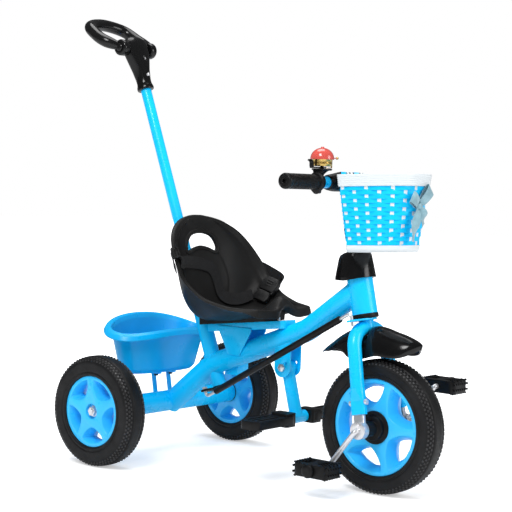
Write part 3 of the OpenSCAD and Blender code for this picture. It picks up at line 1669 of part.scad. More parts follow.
module pedal(side) {
  centre_y = side * (crank_plane + pedal_gap + pedal_w / 2 - face_gap / 2);
  window = pedal_depth / 2 - pedal_rail - pedal_barrel_r;
  color(black) from_rear_axle() translate([wheelbase, centre_y, front_r] - side * crank_arm) difference() {
    union() {
      translate([0, 0, -pedal_t / 2]) linear_extrude(pedal_t) difference() {
        rounded_outline(pedal_depth, pedal_w - face_gap, pedal_corner);
        for (face = [-1, 1]) translate([face * (pedal_barrel_r + window / 2), 0])
          rounded_outline(window, pedal_w - 2 * pedal_rail, pedal_stud_gap);
      }
    }
    along_y() cylinder(d = crank_d + 2 * running_fit, h = 2 * pedal_w, center = true);
    for (face = [-1, 1], i = [0:pedal_studs - 1])
      translate([
        face * pedal_depth / 2 - pedal_rail - overrun,
        (i - (pedal_studs - 1) / 2) * pedal_w / pedal_studs - pedal_stud_gap / 2,
        pedal_t / 2 - pedal_stud_t
      ])
      cube([2 * pedal_rail + 2 * overrun, pedal_stud_gap, pedal_stud_t + overrun]);
  }
}

module pedal_right() {
  pedal(-1);
}

module pedal_left() {
  pedal(1);
}

module rear_tyre_right() {
  color(black) rear_tyre(-1);
}

module rear_tyre_left() {
  color(black) rear_tyre(1);
}

module rear_rim_right() {
  color(rim_blue) rear_rim(-1);
}

module rear_rim_left() {
  color(rim_blue) rear_rim(1);
}

// Push bar

push_bar_top = handle_rise - neck_bite;
button_t = handle_rise - neck_len * button_share;

module push_bar() {
  color(paint) on_push_axis() difference() {
    translate([0, 0, lever_t_pos - overrun])
      linear_extrude(push_bar_top - lever_t_pos + overrun) tube_section(push_bar_d, push_bar_d - 2 * tube_wall);
    translate([0, 0, button_t]) rotate([0, 90, 0]) cylinder(d = button_d + 2 * running_fit, h = push_bar_d);
  }
}

module snap_button() {
  foot = push_bar_d / 2 - tube_wall - button_stem * 3 / 4;
  tip = neck_t / 2 + button_proud - button_d / 2;
  color(steel) on_push_axis() translate([0, 0, button_t]) rotate([0, 90, 0]) {
    translate([0, 0, foot]) cylinder(d = button_d, h = tip - foot);
    translate([0, 0, tip]) sphere(d = button_d);
    translate([0, 0, foot]) cylinder(d = button_d + 2 * tube_wall, h = button_stem / 4);
  }
}

// The neck's outline about the handle's pivot: shares of its width and of its height
neck_share = [
  [0.2, -0.54], [0.21, -0.46], [0.26, -0.36], [0.38, -0.22], [0.47, -0.1], [0.5, 0.0], [0.495, 0.06],
  [0.46, 0.115], [0.39, 0.155], [0.28, 0.185], [0.14, 0.2]
];

module handle_neck() {
  foot = neck_len * 0.71;
  color(black) on_push_axis() translate([0, 0, handle_rise]) difference() {
    union() {
      rotate([90, 0, 90]) translate([0, 0, -neck_t / 2]) linear_extrude(neck_t) polygon(concat(
        [for (p = neck_share) [p[0] * neck_w, p[1] * neck_len]],
        [for (i = [len(neck_share) - 1:-1:0]) [-neck_share[i][0] * neck_w, neck_share[i][1] * neck_len]]
      ));
      translate([0, 0, -foot]) cylinder(d = neck_foot_d, h = foot);
      translate([0, 0, -foot]) cylinder(d = neck_collar_d, h = foot * 0.22);
    }
    translate([0, 0, -foot - overrun]) cylinder(d = push_bar_d + 2 * running_fit, h = foot - neck_bite + overrun + facing);
    along_y() cylinder(d = handle_pin_d + 2 * running_fit, h = 2 * neck_w, center = true);
    translate([0, 0, button_t - handle_rise]) rotate([0, 90, 0])
      cylinder(d = button_d + 2 * running_fit, h = neck_t);
  }
}

module handle_pin() {
  reach = neck_w / 2 + face_gap + boss_w;
  color(steel) on_push_axis() translate([0, 0, handle_rise]) along_y() {
    cylinder(d = handle_pin_d, h = 2 * reach + 2 * face_gap + 2 * facing, center = true);
    for (face = [0, 1]) mirror([0, 0, face]) translate([0, 0, reach + face_gap])
      cylinder(d = 2 * handle_pin_d, h = spindle_cap_t);
  }
}

module push_handle() {
  boss_y = neck_w / 2 + face_gap + boss_w / 2;
  path = [[0, -boss_y, 0], [-loop_len, -loop_w / 2, 0], [-loop_len, loop_w / 2, 0], [0, boss_y, 0]];
  color(black) on_push_axis() translate([0, 0, handle_rise]) rotate([0, push_lean + loop_tilt, 0]) difference() {
    union() {
      bent_tube(path, loop_bend_r, loop_d);
      both_sides() translate([0, boss_y - boss_w / 2, 0]) along_y() cylinder(r = boss_r, h = boss_w);
    }
    along_y() cylinder(d = handle_pin_d + 2 * running_fit, h = 2 * loop_w, center = true);
    along_y() cylinder(r = 2 * boss_r, h = neck_w + 2 * face_gap, center = true);
    both_sides() translate([0, boss_y + boss_w / 2, 0]) along_y()
      cylinder(r = handle_pin_d + 2 * face_gap, h = boss_w);
  }
}

// Steering link

module lever_arm() {
  color(black) on_push_axis() translate([0, 0, lever_t_pos])
    lever(lever_len, lever_hub_r, lever_eye_r, lever_t, push_bar_d + 2 * running_fit, link_d + 4 * running_fit);
}

push_dir = [-sin(push_lean), 0, cos(push_lean)];
head_dir = [-sin(head_lean), 0, cos(head_lean)];
link_path = [
  link_rear + push_dir * (link_drop + lever_t + link_nut_t + face_gap),
  link_rear,
  link_front,
  link_front - head_dir * (hook_rise + arm_t + hook_tail)
];
link_dir = unit(link_front - link_rear);

module link_rod() {
  color(steel) from_rear_axle() {
    bent_tube(link_path, link_bend_r, link_d);
    frame_at(link_rear + push_dir * (link_drop + lever_t + face_gap), [0, 1, 0], push_dir)
      cylinder(r = link_nut_r, h = link_nut_t, $fn = 6);
  }
}

module link_sleeve() {
  color(black) from_rear_axle() run(
    link_rear + link_dir * sleeve_end, link_front - link_dir * sleeve_end,
    sleeve_d, link_d + 2 * running_fit
  );
}

main_tube();
head_tube();
rear_cross_tube();
push_socket();
steering_bushes();
seat_rail();
seat_bracket();
footrest_bracket();
tub_legs();
rear_tub();
tub_screws();
rear_axle();
axle_end_plugs();
axle_nuts();
lower_head_cup();
seat_shell();
seat_bolts();
harness_straps();
buckle();
footrest_bolt();
fork();
steerer();
steering_arm();
axle_hangers();
fork_bolts();
mudguard();
head_cover();
handlebar();
bar_pad();
grip_right();
grip_left();
bell_base();
bell_cup();
bell_dome();
bell_lever();
basket_frame();
basket_wall();
basket_bracket();
ribbon_bow();
front_tyre();
front_rim();
front_hub();
crank();
pedal_right();
pedal_left();
rear_tyre_right();
rear_rim_right();
rear_tyre_left();
rear_rim_left();
push_bar();
handle_neck();
handle_pin();
lever_arm();
snap_button();
push_handle();
link_rod();
link_sleeve();
footrest_strut();
footrest_pegs();
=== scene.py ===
import json
import math
from contextlib import contextmanager

import bmesh
import bpy
import numpy as np
from mathutils import Matrix, Vector

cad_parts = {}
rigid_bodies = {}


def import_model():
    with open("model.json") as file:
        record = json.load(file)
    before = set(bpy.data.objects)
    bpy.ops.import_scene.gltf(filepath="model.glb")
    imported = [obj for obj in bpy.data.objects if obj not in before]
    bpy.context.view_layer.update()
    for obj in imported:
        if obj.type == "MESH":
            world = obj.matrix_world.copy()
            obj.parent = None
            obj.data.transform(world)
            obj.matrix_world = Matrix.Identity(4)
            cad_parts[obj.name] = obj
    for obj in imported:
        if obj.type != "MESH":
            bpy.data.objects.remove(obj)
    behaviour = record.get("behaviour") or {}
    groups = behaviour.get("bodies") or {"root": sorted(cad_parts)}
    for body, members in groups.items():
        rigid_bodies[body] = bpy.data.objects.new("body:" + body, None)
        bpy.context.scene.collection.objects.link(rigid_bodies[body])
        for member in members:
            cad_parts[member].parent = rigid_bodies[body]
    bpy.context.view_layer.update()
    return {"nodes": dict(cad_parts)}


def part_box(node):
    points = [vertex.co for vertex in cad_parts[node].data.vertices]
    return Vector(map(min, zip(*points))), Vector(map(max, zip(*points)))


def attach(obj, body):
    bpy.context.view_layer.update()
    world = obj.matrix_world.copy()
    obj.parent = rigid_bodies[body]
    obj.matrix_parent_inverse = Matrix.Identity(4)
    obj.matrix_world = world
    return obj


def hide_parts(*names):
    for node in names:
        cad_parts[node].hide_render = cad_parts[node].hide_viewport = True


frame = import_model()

nodes = frame["nodes"]
scene = bpy.context.scene
MM = 0.001

# Sizes of the trike in millimetres, measured from the rear axle
REAR_AXLE_X = -206.528
WHEELBASE = 531.0
FRONT_R, REAR_R, REAR_WHEEL_Y = 125.0, 109.0, 209
HEAD_LEAN, PUSH_LEAN, RAIL_RISE, HANDLE_TILT, BASKET_RISE = (math.radians(a) for a in (12.8, 20.9, 6.8, 29, 2.5))
HEAD_UP = np.array([-math.sin(HEAD_LEAN), 0, math.cos(HEAD_LEAN)])
PUSH_UP = np.array([-math.sin(PUSH_LEAN), 0, math.cos(PUSH_LEAN)])
PUSH_AHEAD = np.array([math.cos(PUSH_LEAN), 0, math.sin(PUSH_LEAN)])
PUSH_FOOT = np.array([117.0, 0, 197.664])
FRONT_AXLE = np.array([WHEELBASE, 0, FRONT_R])
BAR = np.array([429.309, 0, 572.594])
HANDLE = PUSH_FOOT + PUSH_UP * 692.0
LEFT, UP = np.array([0, 1, 0]), np.array([0, 0, 1])

# The camera solved from the photo: its place, its azimuth, pitch and roll, its lens and sensor
CAMERA_PLACE, CAMERA_TURN = (1951.1, -2128.9, 560.7), (39.154, 2.868, 1.805)
CAMERA_LENS, CAMERA_SENSOR, CAMERA_REACH = 97.364, 36.0, 50
WHITE = (1, 1, 1, 1)
ROOM_TINT, ROOM_LIGHT, ROOM_GLOSS = (0.95, 0.97, 1, 1), 0.7, 0.12
# Each lamp's place, target, size and power
LAMPS = (
    ("key", (0.6, -1.9, 2.3), (0.05, 0, 0.35), 1.1, 45),
    ("top", (-0.4, 0.3, 2.6), (0, 0, 0.3), 1.6, 28),
    ("side", (2.2, 0.6, 1.2), (0.1, 0, 0.3), 1.1, 16),
)
# The floor's reach and colour, and the near and far ends of its glow with the glow's strength there
FLOOR_HALF, FLOOR_GREY, FLOOR_GLOW = 14.0, (0.86, 0.86, 0.86, 1), (0.5, 1.9, 0.42, 1.0)


def linked(name, data):
    obj = bpy.data.objects.new(name, data)
    scene.collection.objects.link(obj)
    return obj


def add_node(tree, kind, links=None, out=0, **settings):
    """Adds a node, links or sets its inputs, and gives one of its outputs."""
    n = tree.nodes.new(kind)
    for key, value in settings.items():
        setattr(n, key, value)
    for socket, value in (links or {}).items():
        if isinstance(value, bpy.types.NodeSocket):
            tree.links.new(value, n.inputs[socket])
        else:
            n.inputs[socket].default_value = value
    return n.outputs[out] if n.outputs else None


def map_range(tree, value, spans, **settings):
    return add_node(tree, "ShaderNodeMapRange", {0: value, **dict(enumerate(spans, 1))}, **settings)


# Camera and light

def place_camera():
    azimuth, pitch, roll = (math.radians(a) for a in CAMERA_TURN)
    forward = Vector((-math.sin(azimuth) * math.cos(pitch), math.cos(azimuth) * math.cos(pitch), -math.sin(pitch)))
    right = Vector((math.cos(azimuth), math.sin(azimuth), 0))
    up = right.cross(forward)
    x = right * math.cos(roll) + up * math.sin(roll)
    y = up * math.cos(roll) - right * math.sin(roll)
    data = bpy.data.cameras.new("camera")
    data.sensor_width, data.lens, data.clip_end = CAMERA_SENSOR, CAMERA_LENS, CAMERA_REACH
    scene.camera = linked("camera", data)
    ahead, left, high = CAMERA_PLACE
    place = Vector(((ahead + REAR_AXLE_X) * MM, left * MM, high * MM))
    scene.camera.matrix_world = Matrix.Translation(place) @ Matrix((x, y, -forward)).transposed().to_4x4()


def backdrop_rays(tree):
    """One where the eye looks at the backdrop, also through clear plastic, and nought for its light."""
    seen, through = (add_node(tree, "ShaderNodeLightPath", out=f"Is {kind} Ray") for kind in ("Camera", "Transmission"))
    return add_node(tree, "ShaderNodeMath", {0: seen, 1: through}, operation="MAXIMUM")


def light_studio():
    scene.world = bpy.data.worlds.new("studio")
    scene.world.use_nodes = True
    tree = scene.world.node_tree
    tree.nodes.clear()
    glossy = add_node(tree, "ShaderNodeLightPath", out="Is Glossy Ray")
    room = map_range(tree, glossy, (0.0, 1.0, ROOM_LIGHT, ROOM_GLOSS))
    fill = add_node(tree, "ShaderNodeBackground", {"Color": ROOM_TINT, "Strength": room})
    seen = add_node(tree, "ShaderNodeBackground", {"Color": WHITE, "Strength": 1.0})
    pick = add_node(tree, "ShaderNodeMixShader", {0: backdrop_rays(tree), 1: fill, 2: seen})
    add_node(tree, "ShaderNodeOutputWorld", {"Surface": pick})
    for name, place, target, size, power in LAMPS:
        data = bpy.data.lights.new(name, "AREA")
        data.shape, data.size, data.energy = "DISK", size, power
        lamp = linked(name, data)
        lamp.location = place
        lamp.rotation_euler = (Vector(target) - Vector(place)).to_track_quat("-Z", "Y").to_euler()
    scene.view_settings.view_transform = "Standard"


def lay_floor():
    """A pale floor that holds the shadow near the trike and runs to white away from it."""
    mesh = bpy.data.meshes.new("floor")
    s = FLOOR_HALF
    mesh.from_pydata([(-s, -s, 0), (s, -s, 0), (s, s, 0), (-s, s, 0)], [], [(0, 1, 2, 3)])
    mat = bpy.data.materials.new("pale_floor")
    mat.use_nodes = True
    tree = mat.node_tree
    tree.nodes.clear()
    place = add_node(tree, "ShaderNodeTexCoord", out="Object")
    reach = add_node(tree, "ShaderNodeVectorMath", {0: place}, "Value", operation="LENGTH")
    fade = map_range(tree, reach, FLOOR_GLOW, interpolation_type="SMOOTHSTEP")
    lit = add_node(tree, "ShaderNodeMath", {0: fade, 1: backdrop_rays(tree)}, operation="MULTIPLY")
    base = add_node(tree, "ShaderNodeBsdfDiffuse", {"Color": FLOOR_GREY})
    glow = add_node(tree, "ShaderNodeEmission", {"Color": WHITE, "Strength": lit})
    both = add_node(tree, "ShaderNodeAddShader", {0: base, 1: glow})
    add_node(tree, "ShaderNodeOutputMaterial", {"Surface": both})
    mesh.materials.append(mat)
    linked("floor", mesh)


place_camera()
light_studio()
lay_floor()


# Finishes

class Finish:
    """A shader built up from small named steps on Object coordinates."""

    SOCKETS = dict(
        rough="Roughness", metal="Metallic", coat="Coat Weight", coat_rough="Coat Roughness", sheen="Sheen Weight",
        specular="Specular IOR Level",
    )
    DRIFT_SPAN, POLISH_SPAN = (0.35, 0.65), (0.3, 0.7)

    def __init__(self, name, colour, **values):
        self.mat = bpy.data.materials.new(name)
        self.mat.use_nodes = True
        self.mat.diffuse_color = (*colour, 1)
        self.tree = self.mat.node_tree
        self.colour = colour
        self.sockets = self.tree.nodes["Principled BSDF"].inputs
        self.sockets["Base Color"].default_value = (*colour, 1)
        for key, value in values.items():
            self.sockets[self.SOCKETS[key]].default_value = value
        self.place = self.add("ShaderNodeTexCoord", out="Object")

    def add(self, kind, links=None, out=0, **settings):
        return add_node(self.tree, kind, links, out, **settings)

    def drive(self, socket, value):
        self.tree.links.new(value, self.sockets[socket])

    def maths(self, how, *values):
        return self.add("ShaderNodeMath", dict(enumerate(values)), operation=how)

    def noise(self, scale, detail=2.0):
        return self.add("ShaderNodeTexNoise", {"Vector": self.place, "Scale": scale, "Detail": detail}, "Fac")

    def ribs(self, run, pitch):
        return self.maths("SINE", self.maths("MULTIPLY", run, 2 * math.pi / pitch))

    def cut(self):
        """The places across and along a woven piece's flat cut."""
        uv = self.add("ShaderNodeUVMap")
        return (self.add("ShaderNodeSeparateXYZ", {0: uv}, axis) for axis in "XY")

    def paint(self, value, low, high, dark, light):
        share = map_range(self.tree, value, (low, high, 0.0, 1.0))
        mixed = self.add("ShaderNodeMix", {0: share, 6: (*dark, 1), 7: (*light, 1)}, 2, data_type="RGBA")
        self.drive("Base Color", mixed)

    def vary(self, amount, scale):
        """Colour that drifts a little lighter and darker over the piece."""
        light = tuple(min(1.0, c * (1 + amount) + 0.002) for c in self.colour)
        dark = tuple(c * (1 - amount) for c in self.colour)
        self.paint(self.noise(scale, 3), *self.DRIFT_SPAN, dark, light)

    def polish(self, low, high, scale, detail=3.0):
        """Roughness that runs from low to high in soft patches."""
        self.drive("Roughness", map_range(self.tree, self.noise(scale, detail), (*self.POLISH_SPAN, low, high)))

    def emboss(self, heights, depth, strength):
        total = None
        for height, share in heights:
            part = self.maths("MULTIPLY", height, share)
            total = part if total is None else self.maths("ADD", total, part)
        bump = self.add("ShaderNodeBump", {"Strength": strength, "Distance": depth, "Height": total})
        self.drive("Normal", bump)
        return self.mat


# Plain finishes: colour, shader values, colour drift, polish, grains as scale, share and detail, and the bump's depth
PLAIN = {
    "azure_paint": (
        (0.0, 0.52, 1.0), dict(rough=0.3, coat=0.12, coat_rough=0.08, specular=0.3),
        (0.05, 7), (0.24, 0.34, 40), ((650, 1.0), (90, 0.5)), (0.0002, 0.25),
    ),
    "black_plastic": (
        (0.003, 0.003, 0.0033), dict(rough=0.38, specular=0.24),
        (0.25, 14), (0.36, 0.5, 60), ((1500, 1.0), (300, 0.6)), (0.0004, 0.35),
    ),
    "gloss_black": (
        (0.012, 0.0118, 0.0116), dict(rough=0.42, specular=0.1),
        (0.2, 8), (0.36, 0.46, 25), ((900, 1.0), (60, 0.7)), (0.0003, 0.2),
    ),
    "polished_black": (
        (0.004, 0.004, 0.0042), dict(rough=0.16, specular=0.34),
        (0.2, 8), (0.13, 0.2, 25), ((900, 1.0), (60, 0.7)), (0.0002, 0.12),
    ),
    "bright_steel": (
        (0.74, 0.74, 0.76), dict(rough=0.3, metal=0.72),
        (0.06, 40), (0.26, 0.36, 60), ((700, 1.0),), (0.0001, 0.1),
    ),
    "tyre_rubber": (
        (0.007, 0.007, 0.0075), dict(rough=0.46, specular=0.22),
        (0.3, 20), (0.38, 0.56, 90), ((1800, 1.0, 3), (240, 0.7)), (0.0005, 0.5),
    ),
    # the lugs are the tyre's own rubber; their lighter colour is a painted highlight, where the knobs catch the light
    "lug_rubber_painted_highlight": (
        (0.026, 0.026, 0.027), dict(rough=0.42, specular=0.5),
        (0.3, 60), (0.34, 0.5, 120), ((1500, 1.0),), (0.0003, 0.3),
    ),
    "rim_plastic": (
        (0.03, 0.5, 0.98), dict(rough=0.32, coat=0.1, coat_rough=0.12, specular=0.35),
        (0.05, 12), (0.26, 0.38, 50), ((800, 1.0),), (0.0002, 0.2),
    ),
    "tub_plastic": (
        (0.0, 0.4, 0.82), dict(rough=0.32, coat=0.08, coat_rough=0.15, specular=0.25),
        (0.06, 8), (0.26, 0.4, 30), ((900, 1.0), (120, 0.6)), (0.0003, 0.25),
    ),
    "white_plastic": (
        (0.70, 0.745, 0.765), dict(rough=0.4, specular=0.25),
        (0.02, 10), (0.3, 0.42, 40), ((700, 1.0),), (0.0002, 0.25),
    ),
    "cyan_strip": (
        (0.0, 0.54, 0.98), dict(rough=0.42, specular=0.2),
        (0.05, 25), (0.28, 0.42, 60), ((500, 1.0),), (0.0002, 0.3),
    ),
    "red_enamel": (
        (0.62, 0.085, 0.065), dict(rough=0.2, coat=0.6, coat_rough=0.06),
        (0.08, 30), (0.16, 0.26, 60), ((700, 1.0),), (0.0001, 0.2),
    ),
    "brass": (
        (0.72, 0.5, 0.16), dict(rough=0.26, metal=1.0),
        (0.15, 80), (0.18, 0.36, 160, 4), ((900, 1.0, 4),), (0.0002, 0.2),
    ),
}


def plain(name):
    colour, values, drift, polish, grains, bump = PLAIN[name]
    f = Finish(name, colour, **values)
    f.vary(*drift)
    f.polish(*polish)
    return f.emboss([(f.noise(scale, *detail), share) for scale, share, *detail in grains], *bump)


WEBBING_RIB, WEBBING_TWILL, RIBBON_RIB = 0.0016, 0.0024, 0.0009


def webbing():
    """Black polyester webbing: fine ribs across the strap and a slight twill along it."""
    f = Finish("webbing", (0.008, 0.008, 0.009), rough=0.75, sheen=0.06, specular=0.2)
    across, along = f.cut()
    rib, twill = f.ribs(along, WEBBING_RIB), f.ribs(f.maths("ADD", across, along), WEBBING_TWILL)
    f.paint(twill, -1, 1, (0.005, 0.005, 0.0055), (0.012, 0.012, 0.013))
    return f.emboss([(rib, 0.5), (twill, 0.5)], 0.0004, 0.6)


def satin():
    """Grey-blue ribbon with a fine cross weave."""
    f = Finish("satin", (0.19, 0.37, 0.43), rough=0.38, sheen=0.4)
    across, _ = f.cut()
    rib, shade = f.ribs(across, RIBBON_RIB), f.noise(60, 3)
    f.paint(shade, 0.3, 0.7, (0.15, 0.31, 0.37), (0.27, 0.47, 0.54))
    return f.emboss([(rib, 0.4), (shade, 0.6)], 0.0003, 0.4)


FINISH = {**{name: plain(name) for name in PLAIN}, "webbing": webbing(), "satin": satin()}

# The finish that each solid of the frame is given, by the finish's name
NODE_FINISH = {
    "azure_paint": (
        "main_tube", "head_tube", "rear_cross_tube", "push_socket", "seat_rail", "seat_bracket", "footrest_bracket",
        "tub_legs", "fork", "steerer", "steering_arm", "footrest_strut", "push_bar", "handlebar",
    ),
    "black_plastic": (
        "steering_bushes", "tub_screws", "axle_end_plugs", "lower_head_cup", "buckle", "head_cover", "bar_pad",
        "grip_right", "grip_left", "bell_base", "basket_bracket", "front_hub", "pedal_right", "pedal_left",
        "handle_neck", "push_handle", "handle_pin", "lever_arm", "link_sleeve", "footrest_pegs",
    ),
    "gloss_black": ("seat_shell", "mudguard"),
    "bright_steel": (
        "rear_axle", "axle_nuts", "seat_bolts", "footrest_bolt", "axle_hangers", "fork_bolts", "crank",
        "snap_button", "link_rod",
    ),
    "tyre_rubber": ("front_tyre", "rear_tyre_right", "rear_tyre_left"),
    "rim_plastic": ("front_rim", "rear_rim_right", "rear_rim_left"),
    "tub_plastic": ("rear_tub",),
    "white_plastic": ("basket_frame",),
    "cyan_strip": ("basket_wall",),
    "red_enamel": ("bell_dome", "bell_lever"),
    "brass": ("bell_cup",),
    "webbing": ("harness_straps",),
    "satin": ("ribbon_bow",),
}
for finish, names in NODE_FINISH.items():
    for name in names:
        nodes[name].data.materials.clear()
        nodes[name].data.materials.append(FINISH[finish])


# Mesh helpers: points are in millimetres from the rear axle until they go into a mesh

MERGE, COPY_MERGE = 1e-6, 2e-6
FLAT_ANGLE, BEVEL_ANGLE, BEVEL_STEPS = math.radians(1.5), math.radians(30), 2


@contextmanager
def editing(mesh):
    bm = bmesh.new()
    bm.from_mesh(mesh)
    yield bm
    bm.to_mesh(mesh)
    bm.free()


def mesh_of(name, verts, faces, edges=()):
    points = np.asarray(verts, float).reshape(-1, 3) + (REAR_AXLE_X, 0, 0)
    mesh = bpy.data.meshes.new(name)
    mesh.from_pydata((points * MM).tolist(), list(edges), [tuple(int(i) for i in f) for f in faces])
    return mesh


def finished(obj, finish, body, stands_for=None, sharp=38):
    """Gives a mesh object its finish, its shading and its place on a body."""
    mesh = obj.data
    mesh.materials.clear()
    mesh.materials.append(FINISH[finish])
    mesh.shade_smooth()
    mesh.set_sharp_from_angle(angle=math.radians(sharp))
    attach(obj, body)
    if stands_for:
        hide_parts(stands_for)
    return obj


def joined(parts):
    verts, faces, start = [], [], 0
    for v, f in parts:
        verts.append(np.asarray(v, float).reshape(-1, 3))
        faces += [tuple(i + start for i in one) for one in f]
        start += len(verts[-1])
    return np.concatenate(verts), faces


def piece(name, parts, finish, body, stands_for=None, sharp=38):
    """One closed piece made of parts, each with its points and faces."""
    mesh = mesh_of(name, *joined(parts))
    with editing(mesh) as bm:
        bmesh.ops.remove_doubles(bm, verts=bm.verts, dist=MERGE)
        bmesh.ops.recalc_face_normals(bm, faces=bm.faces)
        bmesh.ops.delete(bm, geom=[p for p in bm.verts if not p.link_faces], context="VERTS")
    return finished(linked(name, mesh), finish, body, stands_for, sharp)


def baked(obj):
    """The object's evaluated mesh, with its modifiers taken off."""
    graph = bpy.context.evaluated_depsgraph_get()
    mesh = bpy.data.meshes.new_from_object(obj.evaluated_get(graph), preserve_all_data_layers=True, depsgraph=graph)
    obj.modifiers.clear()
    return mesh


def softened(name, node, width, finish, body):
    """A solid of the frame with its hard edges rounded."""
    mesh = nodes[node].data.copy()
    with editing(mesh) as bm:
        bmesh.ops.remove_doubles(bm, verts=bm.verts, dist=COPY_MERGE)
        bmesh.ops.dissolve_limit(bm, angle_limit=FLAT_ANGLE, verts=bm.verts, edges=bm.edges)
    obj = linked(name, mesh)
    bevel = obj.modifiers.new("round", "BEVEL")
    bevel.width, bevel.segments = width * MM, BEVEL_STEPS
    bevel.limit_method, bevel.angle_limit = "ANGLE", BEVEL_ANGLE
    bevel.harden_normals, bevel.use_clamp_overlap = False, True
    obj.data = baked(obj)
    return finished(obj, finish, body, node, 42)


def unit(v):
    v = np.asarray(v, float)
    return v / np.maximum(np.linalg.norm(v, axis=-1, keepdims=True), 1e-12)


def eased(ways, passes):
    """Directions round a loop, each drawn towards its neighbours."""
    for _ in range(passes):
        ways = unit(ways + np.roll(ways, 1, 0) + np.roll(ways, -1, 0))
    return ways


def power(x, share):
    return np.sign(x) * np.abs(x) ** share


def ramp(x, start, span):
    """A rise from nought at start to one a span further on."""
    return np.clip((x - start) / span, 0, 1)


def angles(count):
    return np.arange(count) * 2 * math.pi / count


def runs(points):
    """How far along a line each of its points lies."""
    return np.concatenate([[0], np.cumsum(np.linalg.norm(np.diff(points, axis=0), axis=1))])


def border(m, n):
    """The places round the edge of m rows of n points."""
    a = np.arange(m * n).reshape(m, n)
    return np.concatenate([a[0], a[1:-1, -1], a[-1, ::-1], a[-2:0:-1, 0]])


def grid(points, wrap_rows=False, wrap_cols=False, caps=False):
    """A sheet of quads over rows of points; caps close the first and last row with a face."""
    points = np.asarray(points, float)
    m, n = points.shape[:2]
    faces = []
    for j in range(m if wrap_rows else m - 1):
        for i in range(n if wrap_cols else n - 1):
            k, h = (j + 1) % m, (i + 1) % n
            faces.append((j * n + i, j * n + h, k * n + h, k * n + i))
    if caps:
        faces += [tuple(range(n))[::-1], tuple((m - 1) * n + i for i in range(n))]
    return points.reshape(-1, 3), faces


def tube(rows):
    return grid(rows, wrap_cols=True, caps=True)


def ring_skin(rows):
    return grid(rows, wrap_rows=True, wrap_cols=True)


def spline(a, b, c, d, t):
    return (2 * b + (c - a) * t + (2 * a - 5 * b + 4 * c - d) * t ** 2 + (3 * b - a - 3 * c + d) * t ** 3) / 2


def smooth_line(points, per, closed=False):
    """A spline through the points, with some steps for each span."""
    p = np.asarray(points, float)
    n = len(p)
    out = []
    for i in range(n if closed else n - 1):
        pick = [(i + k) % n if closed else min(max(i + k, 0), n - 1) for k in (-1, 0, 1, 2)]
        out += [spline(*p[pick], t) for t in np.arange(per) / per]
    if not closed:
        out.append(p[-1])
    return np.array(out)


def spaced(points, count, closed=False):
    """The same line with evenly spaced points."""
    p = np.asarray(points, float)
    if closed:
        p = np.concatenate([p, p[:1]])
    run = runs(p)
    at_run = np.linspace(0, run[-1], count + 1)[:-1] if closed else np.linspace(0, run[-1], count)
    return np.stack([np.interp(at_run, run, p[:, k]) for k in range(3)], 1)


def tangents(p, closed=False):
    p = np.asarray(p, float)
    if closed:
        return unit(np.roll(p, -1, 0) - np.roll(p, 1, 0))
    return unit(np.gradient(p, axis=0))


def swept(path, outline, across, closed=False, scale=1.0):
    """An outline carried along a path; across gives the direction of the outline's first axis."""
    path = np.asarray(path, float)
    along = tangents(path, closed)
    across = np.broadcast_to(np.asarray(across, float), path.shape)
    across = unit(across - along * np.sum(across * along, 1, keepdims=True))
    up = np.cross(along, across)
    outline = np.asarray(outline, float) * np.broadcast_to(scale, len(path))[:, None, None]
    rows = path[:, None] + across[:, None] * outline[..., :1] + up[:, None] * outline[..., 1:]
    return grid(rows, wrap_rows=closed, wrap_cols=True, caps=not closed)


def circle_outline(r, sides=24):
    a = angles(sides)
    return np.stack([r * np.cos(a), r * np.sin(a)], 1)


def pill_outline(w, t):
    """A flat rounded strip's section, w wide and t thick."""
    r = t / 2
    right = [(w / 2 - r + r * math.cos(a), r * math.sin(a)) for a in np.linspace(-math.pi / 2, math.pi / 2, 5)]
    return np.array(right + [(-x, -y) for x, y in right])


def revolved(profile, centre, axis=LEFT, steps=96, side=1):
    """A section of [radius, run] pairs turned about an axis through centre; side -1 mirrors it."""
    profile, axis = np.asarray(profile, float) * (1, side), unit(axis)
    first = unit(np.cross(axis, UP if abs(axis[2]) < 0.9 else [1, 0, 0]))
    second = np.cross(first, axis)
    a = angles(steps)
    spoke = np.cos(a)[:, None, None] * first + np.sin(a)[:, None, None] * second
    return ring_skin(np.asarray(centre, float) + spoke * profile[None, :, :1] + axis * profile[None, :, 1:2])


def plate(outer, inner):
    """Two sheets of points closed round their edges into one wall."""
    m, n = outer.shape[:2]
    faces = grid(outer)[1] + [tuple(i + m * n for i in f[::-1]) for f in grid(inner)[1]]
    edge = border(m, n)
    faces += [(a, m * n + a, m * n + b, b) for a, b in zip(edge, np.roll(edge, -1))]
    return np.concatenate([outer.reshape(-1, 3), inner.reshape(-1, 3)]), faces


def rounded_section(points, radius, steps=5):
    """A closed section with its corners rounded; radius is one number or one for each corner."""
    p = np.asarray(points, float)
    n = len(p)
    radii = np.broadcast_to(radius, n)
    out = []
    for i in range(n):
        b, a, c = p[i], p[i - 1], p[(i + 1) % n]
        u, v = unit(a - b), unit(c - b)
        half = math.acos(float(np.clip(np.dot(u, v), -0.99999, 0.99999))) / 2
        reach = min(radii[i] / math.tan(half), 0.48 * np.linalg.norm(a - b), 0.48 * np.linalg.norm(c - b))
        if reach < 1e-6:
            out.append(b)
            continue
        for t in np.linspace(0, 1, steps + 1):
            out.append((1 - t) ** 2 * (b + u * reach) + 2 * t * (1 - t) * b + t ** 2 * (b + v * reach))
    return np.array(out)


def inside(points, outline):
    """Which points lie inside a closed outline."""
    a, b = outline, np.roll(outline, -1, 0)
    y, z = points[..., 0, None], points[..., 1, None]
    over = (a[:, 1] > z) != (b[:, 1] > z)
    cut = a[:, 0] + (z - a[:, 1]) * (b[:, 0] - a[:, 0]) / np.where(b[:, 1] == a[:, 1], 1e-9, b[:, 1] - a[:, 1])
    return np.sum(over & (y < cut), -1) % 2 == 1


# Bucket seat: each row, from the front edge to the top of the back, has the depth and height of its middle, the depth
# of its edges, its half width, the height of its edges and the rise of its pommel, as shares of the seat's sizes

